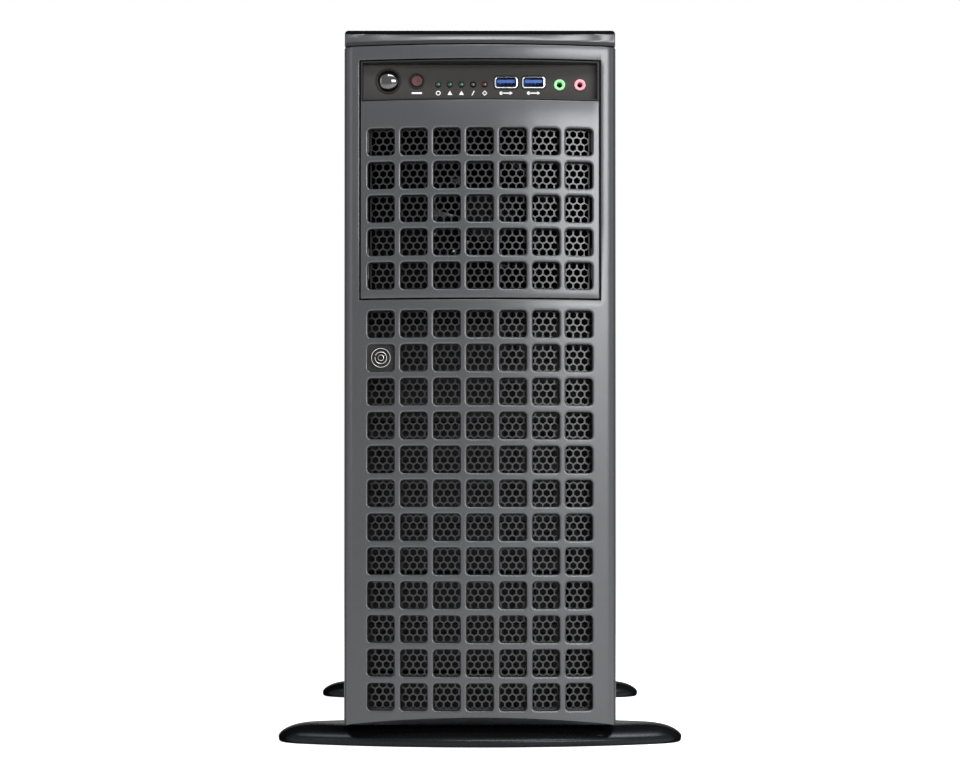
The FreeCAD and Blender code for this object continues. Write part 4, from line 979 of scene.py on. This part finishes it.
    def lock_parts(self) -> None:
        """Builds the barrel's bright ring and the turning plug with its round keyway; the faces
        inside the gaps, the hole and the notch take the black finish, painted shade inside the
        lock.
        """
        x, z = self.lock
        face = float(BOW.depth(x)) - self.lock_proud
        barrel = Piece("lock_ring", self.body, "lock_metal")
        # Mark 1 is black: painted shade on the faces inside the lock's gaps.
        for mark, rows in (
            (0, [(6.3, 21.0), (6.3, 0.4), (6.25, 0.12), (6.1, 0.0), (5.95, 0.1), (5.88, 0.4)]),
            (1, [(5.88, 0.4), (5.8, 1.6), (4.2, 1.6), (4.15, 21.0), (6.3, 21.0)]),
        ):
            barrel.turned(rows, (x, face, z), mark)
        barrel.make([LOCK, BLACK], ["lock_barrel"])
        plug = Piece("lock_core", "lock", "lock_metal")
        # Mark 1 is black: painted shade on the faces inside the lock's gaps and hole.
        for mark, rows in (
            (1, [(4.1, 22.0), (4.1, 0.8), (4.0, 0.45)]),
            (0, [(4.0, 0.45), (3.92, 0.2), (3.78, 0.12), (3.64, 0.2), (3.55, 0.5)]),
            (1, [(3.55, 0.5), (3.45, 2.6), (2.1, 2.6), (2.05, 0.9)]),
            (0, [(2.05, 0.9), (1.95, 0.5), (1.75, 0.45), (1.62, 0.9)]),
            (1, [(1.62, 0.9), (1.55, 2.2), (AXIS, 2.2)]),
            (1, [(AXIS, 22.0), (4.1, 22.0)]),
        ):
            plug.turned(rows, (x, face, z), mark)
        turn = math.radians(self.lock_turn)
        spin = np.array([[math.cos(turn), math.sin(turn)], [-math.sin(turn), math.cos(turn)]])
        notch = oblong((-0.55, 2.9), (0.55, 4.0)) @ spin
        plug.prism(notch + self.lock, (face + 0.05, face + 1.2), 1)
        plug.make([LOCK, BLACK], ["lock_plug"])


# Growth and depth of a data socket's rows: its shell with a rolled lip, and a flat black ring round
# it that stands for the cut-out's dark gap and paints the shadow round the socket.
USB_ROWS = ((0.0, 16.0), (0.0, -0.4), (0.15, -0.7), (-0.25, -0.85), (-0.6, -0.6), (-0.6, 16.0))
USB_DARK_RING = ((0.02, 0.02), (0.02, -0.3), (0.9, -0.3), (1.1, 0.02))

# Radius and depth of the rows of an audio jack's flange and bore.
JACK_ROWS = ((3.7, 16.0), (3.7, -0.55), (3.55, -0.8), (3.2, -0.95), (2.5, -0.85), (1.85, -0.45),
             (1.8, -0.2), (1.8, 13.2))


@dataclass
class BayModule:
    """Module in the door's cut-out: removable cover with its mesh, and the panel's parts."""

    panel: float = -322.5
    button_rise: float = 433.4
    power_x: float = -59.7
    reset_x: float = -41.2
    light_x: float = -27.2
    light_pitch: float = 7.56
    light_rise: float = 431.2
    usb_middles: Pair = (17.0, 34.9)
    usb_rise: float = 432.6
    usb_half: Pair = (7.2, 3.6)
    usb_corner: float = 1.9
    jack_rise: float = 430.9
    sign_rise: float = 425.6
    tab_lefts: Pair = (-74.2, 72.2)
    tab_lows: Pair = (304.0, 386.8)
    tab_size: Pair = (2.0, 20.0)
    tab_ends: Pair = (-323.6, -309.7)
    cells: CellField = CellField(7, 5, 305.6, 21.75)

    def build(self) -> None:
        """Builds the cover, its mesh and the control panel's parts."""
        cover = GrillePlate("cover_grille", "bay_front", half=77.5, low=291.0, high=419.5,
                            cells=self.cells, edge=0.6).build()
        for left in self.tab_lefts:
            for low in self.tab_lows:
                tab = oblong((left, low), (left + self.tab_size[0], low + self.tab_size[1]))
                cover.prism(tab, self.tab_ends)
        cover.make([GRAPHITE, BLACK], ["bay_cover"])
        sheet = HexSheet("cover_mesh", "bay_front", half=71.5, low=294.4, high=416.4, border=0.9)
        sheet.build().make([MESH_BLACK], ["bay_mesh"])
        self.buttons()
        self.lights()
        self.sockets()
        self.marks()

    def buttons(self) -> None:
        """Builds the domed power button, the flat reset button and the dark rings round them.

        At angle a the dome's radius is 6.7 cos a and its height 3 sin a.
        """
        power = Piece("power_dome", "power_key", "button_gloss")
        centre = (self.power_x, self.panel, self.button_rise)
        angle = np.linspace(0.0, QUARTER, 10)
        dome = zip(6.7 * np.cos(angle) + AXIS, -3.0 * np.sin(angle))
        skirt = [(8.35, 4.6), (8.35, 3.05), (6.75, 3.05), (6.75, 0.3)]
        power.turned([*skirt, *dome], centre, steps=64)
        power.turned([(8.35, 4.6), (2.0, 4.6), (2.0, 13.6), (AXIS, 13.6)], centre, steps=64)
        power.make([BUTTON], ["power_button"])
        reset = Piece("reset_cap", "reset_key", "button_matte")
        centre = (self.reset_x, self.panel, self.button_rise)
        skirt = [(5.25, 4.6), (5.25, 3.05), (3.7, 3.05), (3.7, -1.0)]
        reset.turned([*skirt, (3.5, -1.35), (3.2, -1.5), (2.6, -1.45), (AXIS, -1.1)], centre)
        reset.turned([(5.25, 4.6), (2.0, 4.6), (2.0, 14.4), (AXIS, 14.4)], centre)
        reset.make([RESET], ["reset_button"])
        ring = Piece("button_rings", "case", "panel_plastic")
        section = ((0.0, 0.02), (0.0, -0.5), (0.25, -0.7), (0.75, -0.7), (1.0, -0.5), (1.0, 0.02))
        for x, radius in ((self.power_x, 7.3), (self.reset_x, 4.15)):
            rows = [(radius + out, deep) for out, deep in section]
            ring.turned(rows, (x, self.panel, self.button_rise), steps=64, closed=True)
        ring.make([BLACK])

    def light_places(self) -> np.ndarray:
        """Middles of the five lights across."""
        return self.light_x + self.light_pitch * np.arange(5)

    def lights(self) -> None:
        """Builds five round lenses: low domes on stems, in the order of their colours.

        At angle a the dome's radius is the lens's times cos a, its height 0.8 of that times sin a.
        """
        lens = Piece("status_lenses", "case", "light_lens")
        angle = np.linspace(0.0, QUARTER, 8)
        for x, mark in zip(self.light_places(), (0, 0, 0, 1, 2)):
            size = 1.3 if mark == 1 else 1.95
            dome = zip(size * np.cos(angle) + AXIS / 2, -size * 0.8 * np.sin(angle))
            rows = [(size, 15.8), (size, 0.0), *dome]
            lens.turned(rows, (x, self.panel, self.light_rise), mark, 28)
        lens.make([GREEN_LENS, CLEAR_LENS, RED_LENS], ["status_lights"])

    def sockets(self) -> None:
        """Builds the two data sockets with rolled rims and the two audio jacks with flanges."""
        shell = Piece("usb_rims", "case", "socket_metal")
        tongue = Piece("usb_tongue_pads", "case", "usb_blue")
        for middle in self.usb_middles:
            # The second rows are the black ring round each socket: the cut-out's gap, with painted
            # shadow round it.
            for mark, rows in enumerate((USB_ROWS, USB_DARK_RING)):
                shell.net(self._rounded_tube(middle, rows), round_u=True, round_v=True, mark=mark)
            self._tongue(tongue, middle)
        shell.make([NICKEL, BLACK], ["usb_shells"])
        tongue.make([BLUE, BRASS], ["usb_tongues"])
        for x, name, finish, slot, node in (
            (51.8, "headphone_ring", GREEN, "jack_green", "headphone_jack"),
            (65.1, "microphone_ring", PINK, "jack_pink", "microphone_jack"),
        ):
            jack = Piece(name, "case", slot)
            centre = (x, self.panel, self.jack_rise)
            jack.turned(JACK_ROWS, centre, steps=40)
            jack.turned([(1.8, 13.2), (AXIS, 13.2)], centre, 1, 40)
            jack.turned([(AXIS, 16.0), (3.7, 16.0)], centre, steps=40)
            jack.make([finish, BLACK], [node])

    def _rounded_tube(self, middle: float, rows: Sequence[Pair]) -> np.ndarray:
        """Carries a rounded oblong through rows.

        Args:
            middle: Middle of the socket across.
            rows: Growth outwards and depth behind the panel's face of each row.

        Returns:
            Grid of points, closed both ways.
        """
        angle = np.linspace(0.0, ROUND, 32, endpoint=False)
        ring = np.stack([np.cos(angle), np.sin(angle)], axis=1)
        sign = np.sign(ring + 1e-9)
        loops = []
        for grow, deep in rows:
            radius = self.usb_corner + grow * 0.6
            straight = np.add(self.usb_half, grow - radius)
            loop = (middle, self.usb_rise) + sign * straight + radius * ring
            loops.append(stand(loop, self.panel + deep))
        return np.stack(loops)

    def _tongue(self, piece: Piece, middle: float) -> None:
        """Adds a socket's tongue, its heel and the row of contacts under the tongue.

        Args:
            piece: Piece that takes them.
            middle: Middle of the socket across.
        """
        front, rise = self.panel + 1.0, self.usb_rise
        tongue = oblong((middle - 5.7, rise), (middle + 5.7, rise + 1.9))
        heel = oblong((middle - 6.5, rise - 2.9), (middle + 6.5, rise + 2.9))
        piece.prism(tongue, (front, front + 13.0))
        piece.prism(heel, (front + 11.9, front + 14.9))
        for left in middle - 4.3 + 2.4 * np.arange(4):
            contact = oblong((left, rise - 0.12), (left + 1.3, rise + 0.02))
            piece.prism(contact, (front + 0.6, front + 9.0), 1)

    def marks(self) -> None:
        """Adds small plain signs under the lights and sockets: rings, triangles and bars."""
        sign = Piece("panel_signs", "case", "panel_plastic")
        slash = np.array([[-1.1, -1.5], [-0.4, -1.5], [1.1, 1.5], [0.4, 1.5]])
        lights = self.light_places()
        self._outlined(sign, ngon(1.55, 20), ngon(0.95, 20), lights[0])
        for x in lights[1:3]:
            self._filled(sign, ngon(1.85, 3, 90.0) - (0.0, 0.3), x)
        self._filled(sign, slash, lights[3])
        self._outlined(sign, ngon(1.75, 4), ngon(1.05, 4), lights[4])
        self._filled(sign, oblong((-3.3, -0.55), (3.3, 0.55)), self.reset_x)
        for middle in self.usb_middles:
            self._filled(sign, oblong((-3.0, -0.38), (2.6, 0.38)), middle)
            self._filled(sign, ngon(1.1, 16), middle - 3.2)
            self._filled(sign, ngon(1.35, 3), middle + 3.0)
        sign.make([MARK])

    def _filled(self, piece: Piece, outline: np.ndarray, x: float) -> None:
        """Adds a filled sign: a thin closed prism, a hair proud of the panel's face."""
        piece.prism(outline + (x, self.sign_rise), (self.panel + 0.02, self.panel - 0.08))

    def _outlined(self, piece: Piece, outer: np.ndarray, inner: np.ndarray, x: float) -> None:
        """Adds an outlined sign: a thin closed ring, a hair proud of the panel's face.

        Args:
            piece: Piece that takes it.
            outer: Outer outline.
            inner: Inner outline, point for point.
            x: Middle across.
        """
        loops = ((outer, 0.02), (outer, -0.08), (inner, -0.08), (inner, 0.02))
        net = [stand(loop + (x, self.sign_rise), self.panel + deep) for loop, deep in loops]
        piece.net(np.stack(net), round_u=True, round_v=True)


@dataclass
class TopCap:
    """Plastic cap over the case: bowed lip, slanted band over it, and a round edge in a near-black
    finish, a painted dark reflection.
    """

    half: float = 88.0
    lip_low: float = 455.9
    lip_high: float = 458.2
    band_high: float = 463.5
    case_top: float = 450.0
    top: float = 466.0
    front: float = -298.5
    back: float = 311.5
    edge: float = 2.4
    turn: float = 0.7
    level_half: float = 81.0

    def build(self) -> None:
        """Builds the cap as a grid of profiles, one for each line of x.

        A profile climbs the lip on the bow, then runs straight from the lip's edge back and up to a
        level line on the side plane, so that the band is slanted in the middle and upright at the
        ends; an edge stands on it, rounds over and runs level to the back. Near the sides the
        height falls off by a quarter round. The round edge takes a near-black finish that paints
        the dark reflection along it.
        """
        angle = np.linspace(0.0, QUARTER, 6)
        rim = self.half - self.edge + self.edge * np.sin(angle)
        x = np.concatenate([-rim[::-1], np.linspace(-self.level_half, self.level_half, 37), rim])
        side, bow = BOW.side_plane(), BOW.depth(x)[:, None]
        part = np.linspace(0.05, 1.0, 7)
        lip_y = bow + np.array([0.0, 0.0, 0.12])
        run = np.concatenate([
            side + self.turn * (1.0 - np.cos(angle)), side + np.array([12.0, 130.0, 330.0, 530.0]),
            self.back - np.array([1.6, 0.5, 0.0]),
        ])
        y = np.hstack([lip_y, bow + (side - bow) * part, np.broadcast_to(run, (len(x), len(run)))])
        lip_z = np.array([self.lip_low, self.lip_high - 0.35, self.lip_high - 0.1])
        band_z = self.lip_high + (self.band_high - self.lip_high) * part
        edge_z = self.top - self.turn * (1.0 - np.sin(angle))
        level_z = self.top - np.array([0.0, 0.0, 0.0, 0.0, 0.0, 0.4, 1.6])
        base = np.concatenate([lip_z, band_z, edge_z, level_z])
        out = np.clip(np.abs(x) - (self.half - self.edge), 0.0, self.edge)
        fall = self.edge - np.sqrt(np.maximum(self.edge ** 2 - out ** 2, 0.0))
        height = np.minimum(base, self.top - fall[:, None])
        top = np.stack([np.broadcast_to(x[:, None], y.shape), y, height], axis=-1)
        column = np.arange(y.shape[1] - 1)
        middle = (np.abs((x[:-1] + x[1:]) / 2) < self.half - 0.3 * self.edge)[:, None]
        first = len(lip_z) - 1
        second = first + len(part)
        third = second + len(angle)
        band = middle & (column >= first) & (column < second)
        edge = middle & (column >= second) & (column < third)
        piece = Piece("cap_shell", "case", "bezel_finish")
        piece.net(top, mask=band)
        piece.net(top, mask=~(band | edge), mark=1)
        # The round edge takes the near-black finish: painted dark reflection.
        piece.net(top, mask=edge, mark=2)
        below = [
            np.column_stack([x, np.full_like(x, deep), np.full_like(x, low)]) for deep, low in (
                (self.front, self.lip_low), (self.front, self.case_top), (self.back, self.case_top))
        ]
        under = np.stack([top[:, 0], *below, top[:, -1]], axis=1)
        piece.net(under, mark=1)
        for end in (0, -1):
            piece.cap(np.vstack([top[end], under[end][::-1][1:-1]]), 1)
        piece.make([GRAPHITE, CASE, CAP_EDGE_DARK_REFLECTION], ["top_cap"], smooth=30.0)


@dataclass
class CrossFoot:
    """Wide oval foot with rounded shoulders."""

    name: str
    node: str
    middle: float
    width: float = 269.0
    depth: float = 124.0
    end_radius: float = 34.0
    low: float = 1.2
    high: float = 13.0
    lip: float = 2.6
    shoulder: float = 26.0
    skirt: float = 0.9

    def outline(self, steps: int = 20) -> np.ndarray:
        """Plan of the foot: two flat bows joined tangent to two round ends.

        The bows' radius follows from the depth, the width and the end radius.

        Args:
            steps: Segments of each quarter.

        Returns:
            Points round the plan and their outward normals, (n, 4).
        """
        end_x = self.width / 2 - self.end_radius
        half = self.depth / 2
        radius = (half ** 2 - self.end_radius ** 2 + end_x ** 2) / (2.0 * (half - self.end_radius))
        centre = half - radius
        meet = math.atan2(end_x, -centre)
        bow = np.linspace(0.0, meet, steps, endpoint=False)
        tip = np.linspace(meet, QUARTER, steps)
        normal = np.concatenate([bow, tip])
        sine, cosine = np.sin(normal), np.cos(normal)
        on_bow = np.arange(2 * steps) < steps
        x = np.where(on_bow, radius * sine, end_x + self.end_radius * sine)
        y = np.where(on_bow, centre + radius * cosine, self.end_radius * cosine)
        quarter = np.stack([x, y, sine, cosine], axis=1)
        return np.vstack([
            quarter, (quarter * [1, -1, 1, -1])[::-1][1:], -quarter[1:],
            (quarter * [-1, 1, -1, 1])[::-1][1:-1],
        ])

    def build(self) -> None:
        """Builds the foot: the plan drawn in along its normals, row by row.

        A skirt hangs round the pads, and over it is a slanted, crowned shoulder: at a share s of
        the shoulder's width the rise is the drop times (1 - (1 - s)^2.3)^0.62.
        """
        plan = self.outline()
        share = np.linspace(0.0, 1.0, 18) ** 1.7
        skirt = self.low - self.skirt
        drop = self.high - self.low - self.lip
        rise = drop * (1.0 - (1.0 - share) ** 2.3) ** 0.62
        rows = [
            (4.2, self.low), (3.2, self.low), (2.8, skirt), (1.8, skirt), (0.8, skirt + 0.45),
            (0.2, skirt + 1.3), *zip(self.shoulder * share, self.high - drop + rise),
            (self.shoulder + 1.0, self.high),
        ]
        net = np.stack([
            np.column_stack([plan[:, :2] - inset * plan[:, 2:], np.full(len(plan), z)])
            for inset, z in rows
        ])
        net[..., 1] += self.middle
        piece = Piece(self.name, "case", "foot_plastic")
        piece.tube(net)
        piece.make([FOOT], [self.node])


@dataclass(frozen=True)
class Softened:
    """Sheet or block of the frame with its sharp edges softened, as a merged copy."""

    node: str
    width: float

    def build(self) -> None:
        """Copies the node's mesh, merges it into whole faces and rounds its edges a little."""
        source = frame["nodes"][self.node]
        mesh = source.data.copy()
        mesh.name = self.node + "_soft"
        weld(mesh, smooth=32.0, flat=1.0)
        made = enter(self.node + "_soft", mesh)
        edge = made.modifiers.new("soft_edge", "BEVEL")
        edge.width = self.width * MM
        edge.segments = 2
        edge.limit_method = "ANGLE"
        edge.angle_limit = math.radians(50)
        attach(made, source["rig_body"])
        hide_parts(self.node)
        LOG.info("%s: softened by %.1f mm", self.node, self.width)


SOFTENED = (
    Softened("side_cover", 0.4), Softened("chassis_tray", 0.4), Softened("rear_panel", 0.3),
    Softened("power_supply_1", 0.6), Softened("power_supply_2", 0.6),
    Softened("supply_latch_1", 0.5), Softened("supply_latch_2", 0.5),
    Softened("hinge_post", 0.5), Softened("carrier_levers", 0.8),
)


@dataclass
class Rear:
    """Back of the case: fan guards, screws, vented brackets, supply vents and thumbscrews."""

    plane: float = 311.5
    fan_x: float = -32.0
    fan_rises: Pair = (286.0, 365.0)
    fan_hole: float = 31.1
    guard_rings: tuple[float, ...] = (10.0, 18.0, 26.0, 34.0)
    wire: float = 0.8
    edge_x: float = 81.0
    edge_rises: tuple[float, ...] = (32.0, 118.0, 236.0, 330.0, 402.0)
    bracket_plane: float = 310.3
    bracket_ends: Pair = (-34.3, 75.7)
    bracket_lows: tuple[float, ...] = (21.0, 61.64, 102.28, 142.92, 183.56, 203.88, 224.2)
    bracket_heights: Pair = (38.72, 18.4)
    single_from: float = 180.0
    slot_pitch: float = 20.32
    supply_lefts: Pair = (-69.3, 7.5)
    supply_low: float = 409.3
    vent_middle: float = 54.0
    vent_half: float = 18.6
    vent_rises: Pair = (1.0, 38.0)
    thumb_x: float = -78.5
    thumb_rises: Pair = (388.0, 75.0)

    def build(self) -> None:
        """Builds every piece of the back."""
        self.guards()
        self.screws()
        self.brackets()
        self.vents()
        self.thumbscrews()

    def guards(self) -> None:
        """Builds the wire guards: four rings and four spokes over each fan.

        A ring is a torus: at angles a and b its point is the ring's radius plus the wire's radius
        times cos b, turned by a, and raised by the wire's radius times sin b.
        """
        piece = Piece("fan_guards", "case", "socket_metal")
        around = np.linspace(0.0, ROUND, 40, endpoint=False)[:, None]
        turn = np.linspace(0.0, ROUND, 6, endpoint=False)
        aside, raised = self.wire * np.cos(turn), self.plane + self.wire * np.sin(turn)
        along = np.array([8.5, 40.0, 44.0])[:, None]
        lift = np.array([0.9, 0.9, 0.85])[:, None]
        for rise in self.fan_rises:
            for size in self.guard_rings:
                reach = size + aside
                piece.net(np.stack([
                    self.fan_x + reach * np.cos(around), np.broadcast_to(raised + 1.9, (40, 6)),
                    rise + reach * np.sin(around),
                ], axis=-1), round_u=True, round_v=True)
            for spoke in np.radians([45.0, 135.0, 225.0, 315.0]):
                piece.tube(np.stack([
                    self.fan_x + along * math.cos(spoke) - aside * math.sin(spoke), raised + lift,
                    rise + along * math.sin(spoke) + aside * math.cos(spoke),
                ], axis=-1))
        piece.make([NICKEL])

    def screws(self) -> None:
        """Builds pan-head screws, low domes with a cross, by the fans and at the panel's edge."""
        piece = Piece("rear_screws", "case", "socket_metal")
        corners = (-self.fan_hole, self.fan_hole)
        spots = [(self.fan_x + across, rise + up) for rise in self.fan_rises
                 for across in corners for up in corners]
        spots += [(self.edge_x, rise) for rise in self.edge_rises]
        head = [(2.9, 0.0), (2.9, 1.6), (2.6, 2.2), (1.9, 2.55), (AXIS, 2.65)]
        for x, z in spots:
            piece.turned(head, (x, self.plane, z), steps=20)
            for half_x, half_z in ((1.4, 0.28), (0.28, 1.4)):
                bar = oblong((x - half_x, z - half_z), (x + half_x, z + half_z))
                piece.prism(bar, (self.plane + 2.3, self.plane + 2.68), 1)
        piece.make([NICKEL, BLACK])

    def brackets(self) -> None:
        """Builds the slot brackets: thin plates with oblong vents in line with each slot."""
        piece = Piece("vented_brackets", "case", "socket_metal")
        cells = -24.0 + 10.0 * np.arange(9)[:, None] + np.array([0.0, 7.0])
        x = np.concatenate([self.bracket_ends[:1], cells.ravel(), self.bracket_ends[1:]])
        solid_x = np.ones(len(x) - 1, bool)
        solid_x[1:-1:2] = False
        for low in self.bracket_lows:
            high = low + self.bracket_heights[low >= self.single_from]
            rows = np.arange(low + 9.2, high, self.slot_pitch)
            z = np.concatenate([[low], (rows[:, None] + np.array([-3.6, 3.6])).ravel(), [high]])
            solid_z = np.ones(len(z) - 1, bool)
            solid_z[1:-1:2] = False
            piece.net(plate_net(x, z, self.bracket_plane), mask=solid_x[:, None] | solid_z)
        piece.make([SHIELD, SHIELD], ["slot_brackets"], wall=0.9)

    def vents(self) -> None:
        """Builds the honeycomb plate beside each supply's inlet, over a thin black plate that
        paints the shade inside the inlet.
        """
        half = self.vent_half
        low, high = (self.supply_low + rise for rise in self.vent_rises)
        for place, left in enumerate(self.supply_lefts, 1):
            middle = left + self.vent_middle
            piece = HexSheet(
                f"supply_vent_{place}", f"supply_{place}", half, low, high, sheet=0.5, pitch=4.4,
                web=0.9, across=middle, plane=self.plane + 0.3, slot="supply_metal",
            ).build()
            # Thin black plate behind the honeycomb: painted shade of the supply's dark inside.
            shade_plate = oblong((middle - half, low), (middle + half, high))
            piece.prism(shade_plate, (self.plane + 0.02, self.plane + 0.2), 1)
            piece.make([SUPPLY, BLACK])

    def thumbscrews(self) -> None:
        """Builds the cover's thumbscrews: turned heads whose radius dips thirty times round."""
        piece = Piece("knurled_screws", "side_panel", "socket_metal")
        steps, knurl = 120, slice(3, 5)
        profile = [(1.45, -6.0), (1.45, 1.3), (4.4, 1.3), (5.0, 1.9), (5.0, 8.9), (4.5, 9.9),
                   (3.2, 10.2), (2.9, 9.7), (AXIS, 9.7)]
        dip = 1.0 - 0.05 * (np.arange(steps) % 4 < 2)
        for rise in self.thumb_rises:
            centre = (self.thumb_x, self.plane, rise)
            net = lathe(profile, centre, steps)
            for axis in (0, 2):
                net[knurl, :, axis] = centre[axis] + (net[knurl, :, axis] - centre[axis]) * dip
            piece.net(net, round_v=True)
            piece.turned([(AXIS, -6.0), (1.45, -6.0)], centre, steps=steps)
        piece.make([NICKEL], ["cover_thumbscrews"])


# Studio


@dataclass(frozen=True)
class Softbox:
    """Oblong lamp aimed at a point."""

    name: str
    place: Triple
    aim: Triple
    size: Pair
    radiance: float

    def build(self) -> None:
        """Makes the lamp; its power is radiance times area times pi."""
        data = bpy.data.lights.new(self.name, "AREA")
        data.shape = "RECTANGLE"
        data.size, data.size_y = self.size
        data.energy = self.radiance * self.size[0] * self.size[1] * math.pi
        lamp = enter(self.name, data)
        lamp.location = self.place
        way = np.subtract(self.aim, self.place)
        lamp.rotation_mode = "QUATERNION"
        lamp.rotation_quaternion = Vector(way).to_track_quat("-Z", "Y")
        LOG.info("%s: lamp", self.name)


@dataclass
class Studio:
    """White room: floor, background, lamps and the camera."""

    ambient: float = 0.1
    floor_reach: float = 30.0
    floor_grey: float = 0.8
    floor_glow: float = 0.92
    lens: float = 103.7
    view_shift: float = 0.1094
    view_tilt: float = 90.82
    view_from: Triple = (0.0, -2.1215, 0.1378)
    lamps: tuple[Softbox, ...] = (
        Softbox("key_right", (1.12, -2.2, 0.73), (0.075, -0.33, 0.4), (1.26, 0.48), 21.5),
        Softbox("over", (0.38, -1.5, 1.65), (0.05, -0.32, 0.35), (1.2, 0.5), 16.0),
        Softbox("top", (0.5, 0.15, 2.1), (0.1, -0.2, 0.3), (0.9, 1.4), 6.0),
        Softbox("top_left", (-1.1, -0.05, 1.95), (-0.1, -0.3, 0.05), (0.7, 0.7), 9.0),
        Softbox("top_right", (1.1, -0.05, 1.95), (0.1, -0.3, 0.05), (0.7, 0.7), 18.0),
        Softbox("back", (0.0, 1.1, 1.75), (0.0, -0.3, 0.46), (1.4, 0.5), 2.6),
        Softbox("fill_left", (-1.75, -1.5, 0.75), (0.0, -0.3, 0.3), (0.5, 1.1), 2.5),
    )

    def build(self) -> None:
        """Builds the whole studio."""
        bpy.context.scene.view_settings.view_transform = "Standard"
        self.world()
        self.floor()
        for lamp in self.lamps:
            lamp.build()
        self.camera()

    def _seen(self, tree: bpy.types.NodeTree) -> bpy.types.NodeSocket:
        """Adds a value that is one for the rays that see the background.

        Args:
            tree: Node tree that takes it.

        Returns:
            The socket that gives it.
        """
        path = add_node(tree, "LightPath")
        total = path.outputs[Ray.CAMERA.value]
        for ray in (Ray.GLOSSY, Ray.TRANSMISSION):
            links = {0: total, 1: path.outputs[ray.value]}
            total = add_node(tree, "Math", links=links, operation="MAXIMUM").outputs["Value"]
        return total

    def world(self) -> None:
        """Makes the world: white where it is seen, a plain grey level as light."""
        world = bpy.data.worlds.new("studio")
        bpy.context.scene.world = world
        world.use_nodes = True
        tree = world.node_tree
        level = tree.nodes["Background"]
        set_node(tree, level, {"Color": WHITE, "Strength": self.ambient})
        white = add_node(tree, "Background", {"Color": WHITE, "Strength": 1.0})
        mix = add_node(tree, "MixShader", links={
            "Fac": self._seen(tree), 1: level.outputs["Background"],
            2: white.outputs["Background"],
        })
        set_node(tree, tree.nodes["World Output"], links={"Surface": mix.outputs["Shader"]})

    def floor(self) -> None:
        """Makes the floor: pale, with part of its white added only where it is seen."""
        mesh = bpy.data.meshes.new("floor")
        reach = self.floor_reach
        corners = [(x, y, 0.0) for x, y in oblong((-reach, -reach), (reach, reach)).tolist()]
        mesh.from_pydata(corners, [], [(0, 1, 2, 3)])
        material = bpy.data.materials.new("floor_white")
        material.use_nodes = True
        tree = material.node_tree
        glow = add_node(
            tree, "Math", {1: self.floor_glow}, {0: self._seen(tree)}, operation="MULTIPLY")
        set_node(
            tree, tree.nodes["Principled BSDF"],
            {"Base Color": (*[self.floor_grey] * 3, 1.0), "Roughness": 0.9,
             "Specular IOR Level": 0.0, "Emission Color": WHITE},
            {"Emission Strength": glow.outputs["Value"]})
        mesh.materials.append(material)
        floor = enter("floor", mesh)

    def camera(self) -> None:
        """Places the camera: low before the front, tilted up a little, with its view shifted up."""
        data = bpy.data.cameras.new("camera")
        data.sensor_width = 36.0
        data.lens = self.lens
        data.shift_y = self.view_shift
        data.clip_end = 100.0
        camera = enter("camera", data)
        camera.location = self.view_from
        camera.rotation_euler = (math.radians(self.view_tilt), 0.0, 0.0)
        bpy.context.scene.camera = camera


def dress_nodes() -> None:
    """Gives every node of the frame the finish of its slot in the record, or the finish listed for
    it by node, among them the near-black painted shade of the inner steel.
    """
    for row in frame["record"]["subparts"]:
        node = frame["nodes"][row["node"]]
        node.data.materials.clear()
        finish = BY_NODE.get(row["node"], BY_SLOT[row["material_slot"]])
        node.data.materials.append(finish.material())


def main() -> None:
    """Builds the classes in order."""
    logging.basicConfig(level=logging.INFO, format="%(name)s %(message)s")
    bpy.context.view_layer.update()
    dress_nodes()
    Door().build()
    BayModule().build()
    TopCap().build()
    CrossFoot("front_foot_shell", "front_foot", -274.5).build()
    CrossFoot("rear_foot_shell", "rear_foot", 245.0).build()
    Rear().build()
    for soft in SOFTENED:
        soft.build()
    Studio().build()


if __name__ == "__main__":
    main()
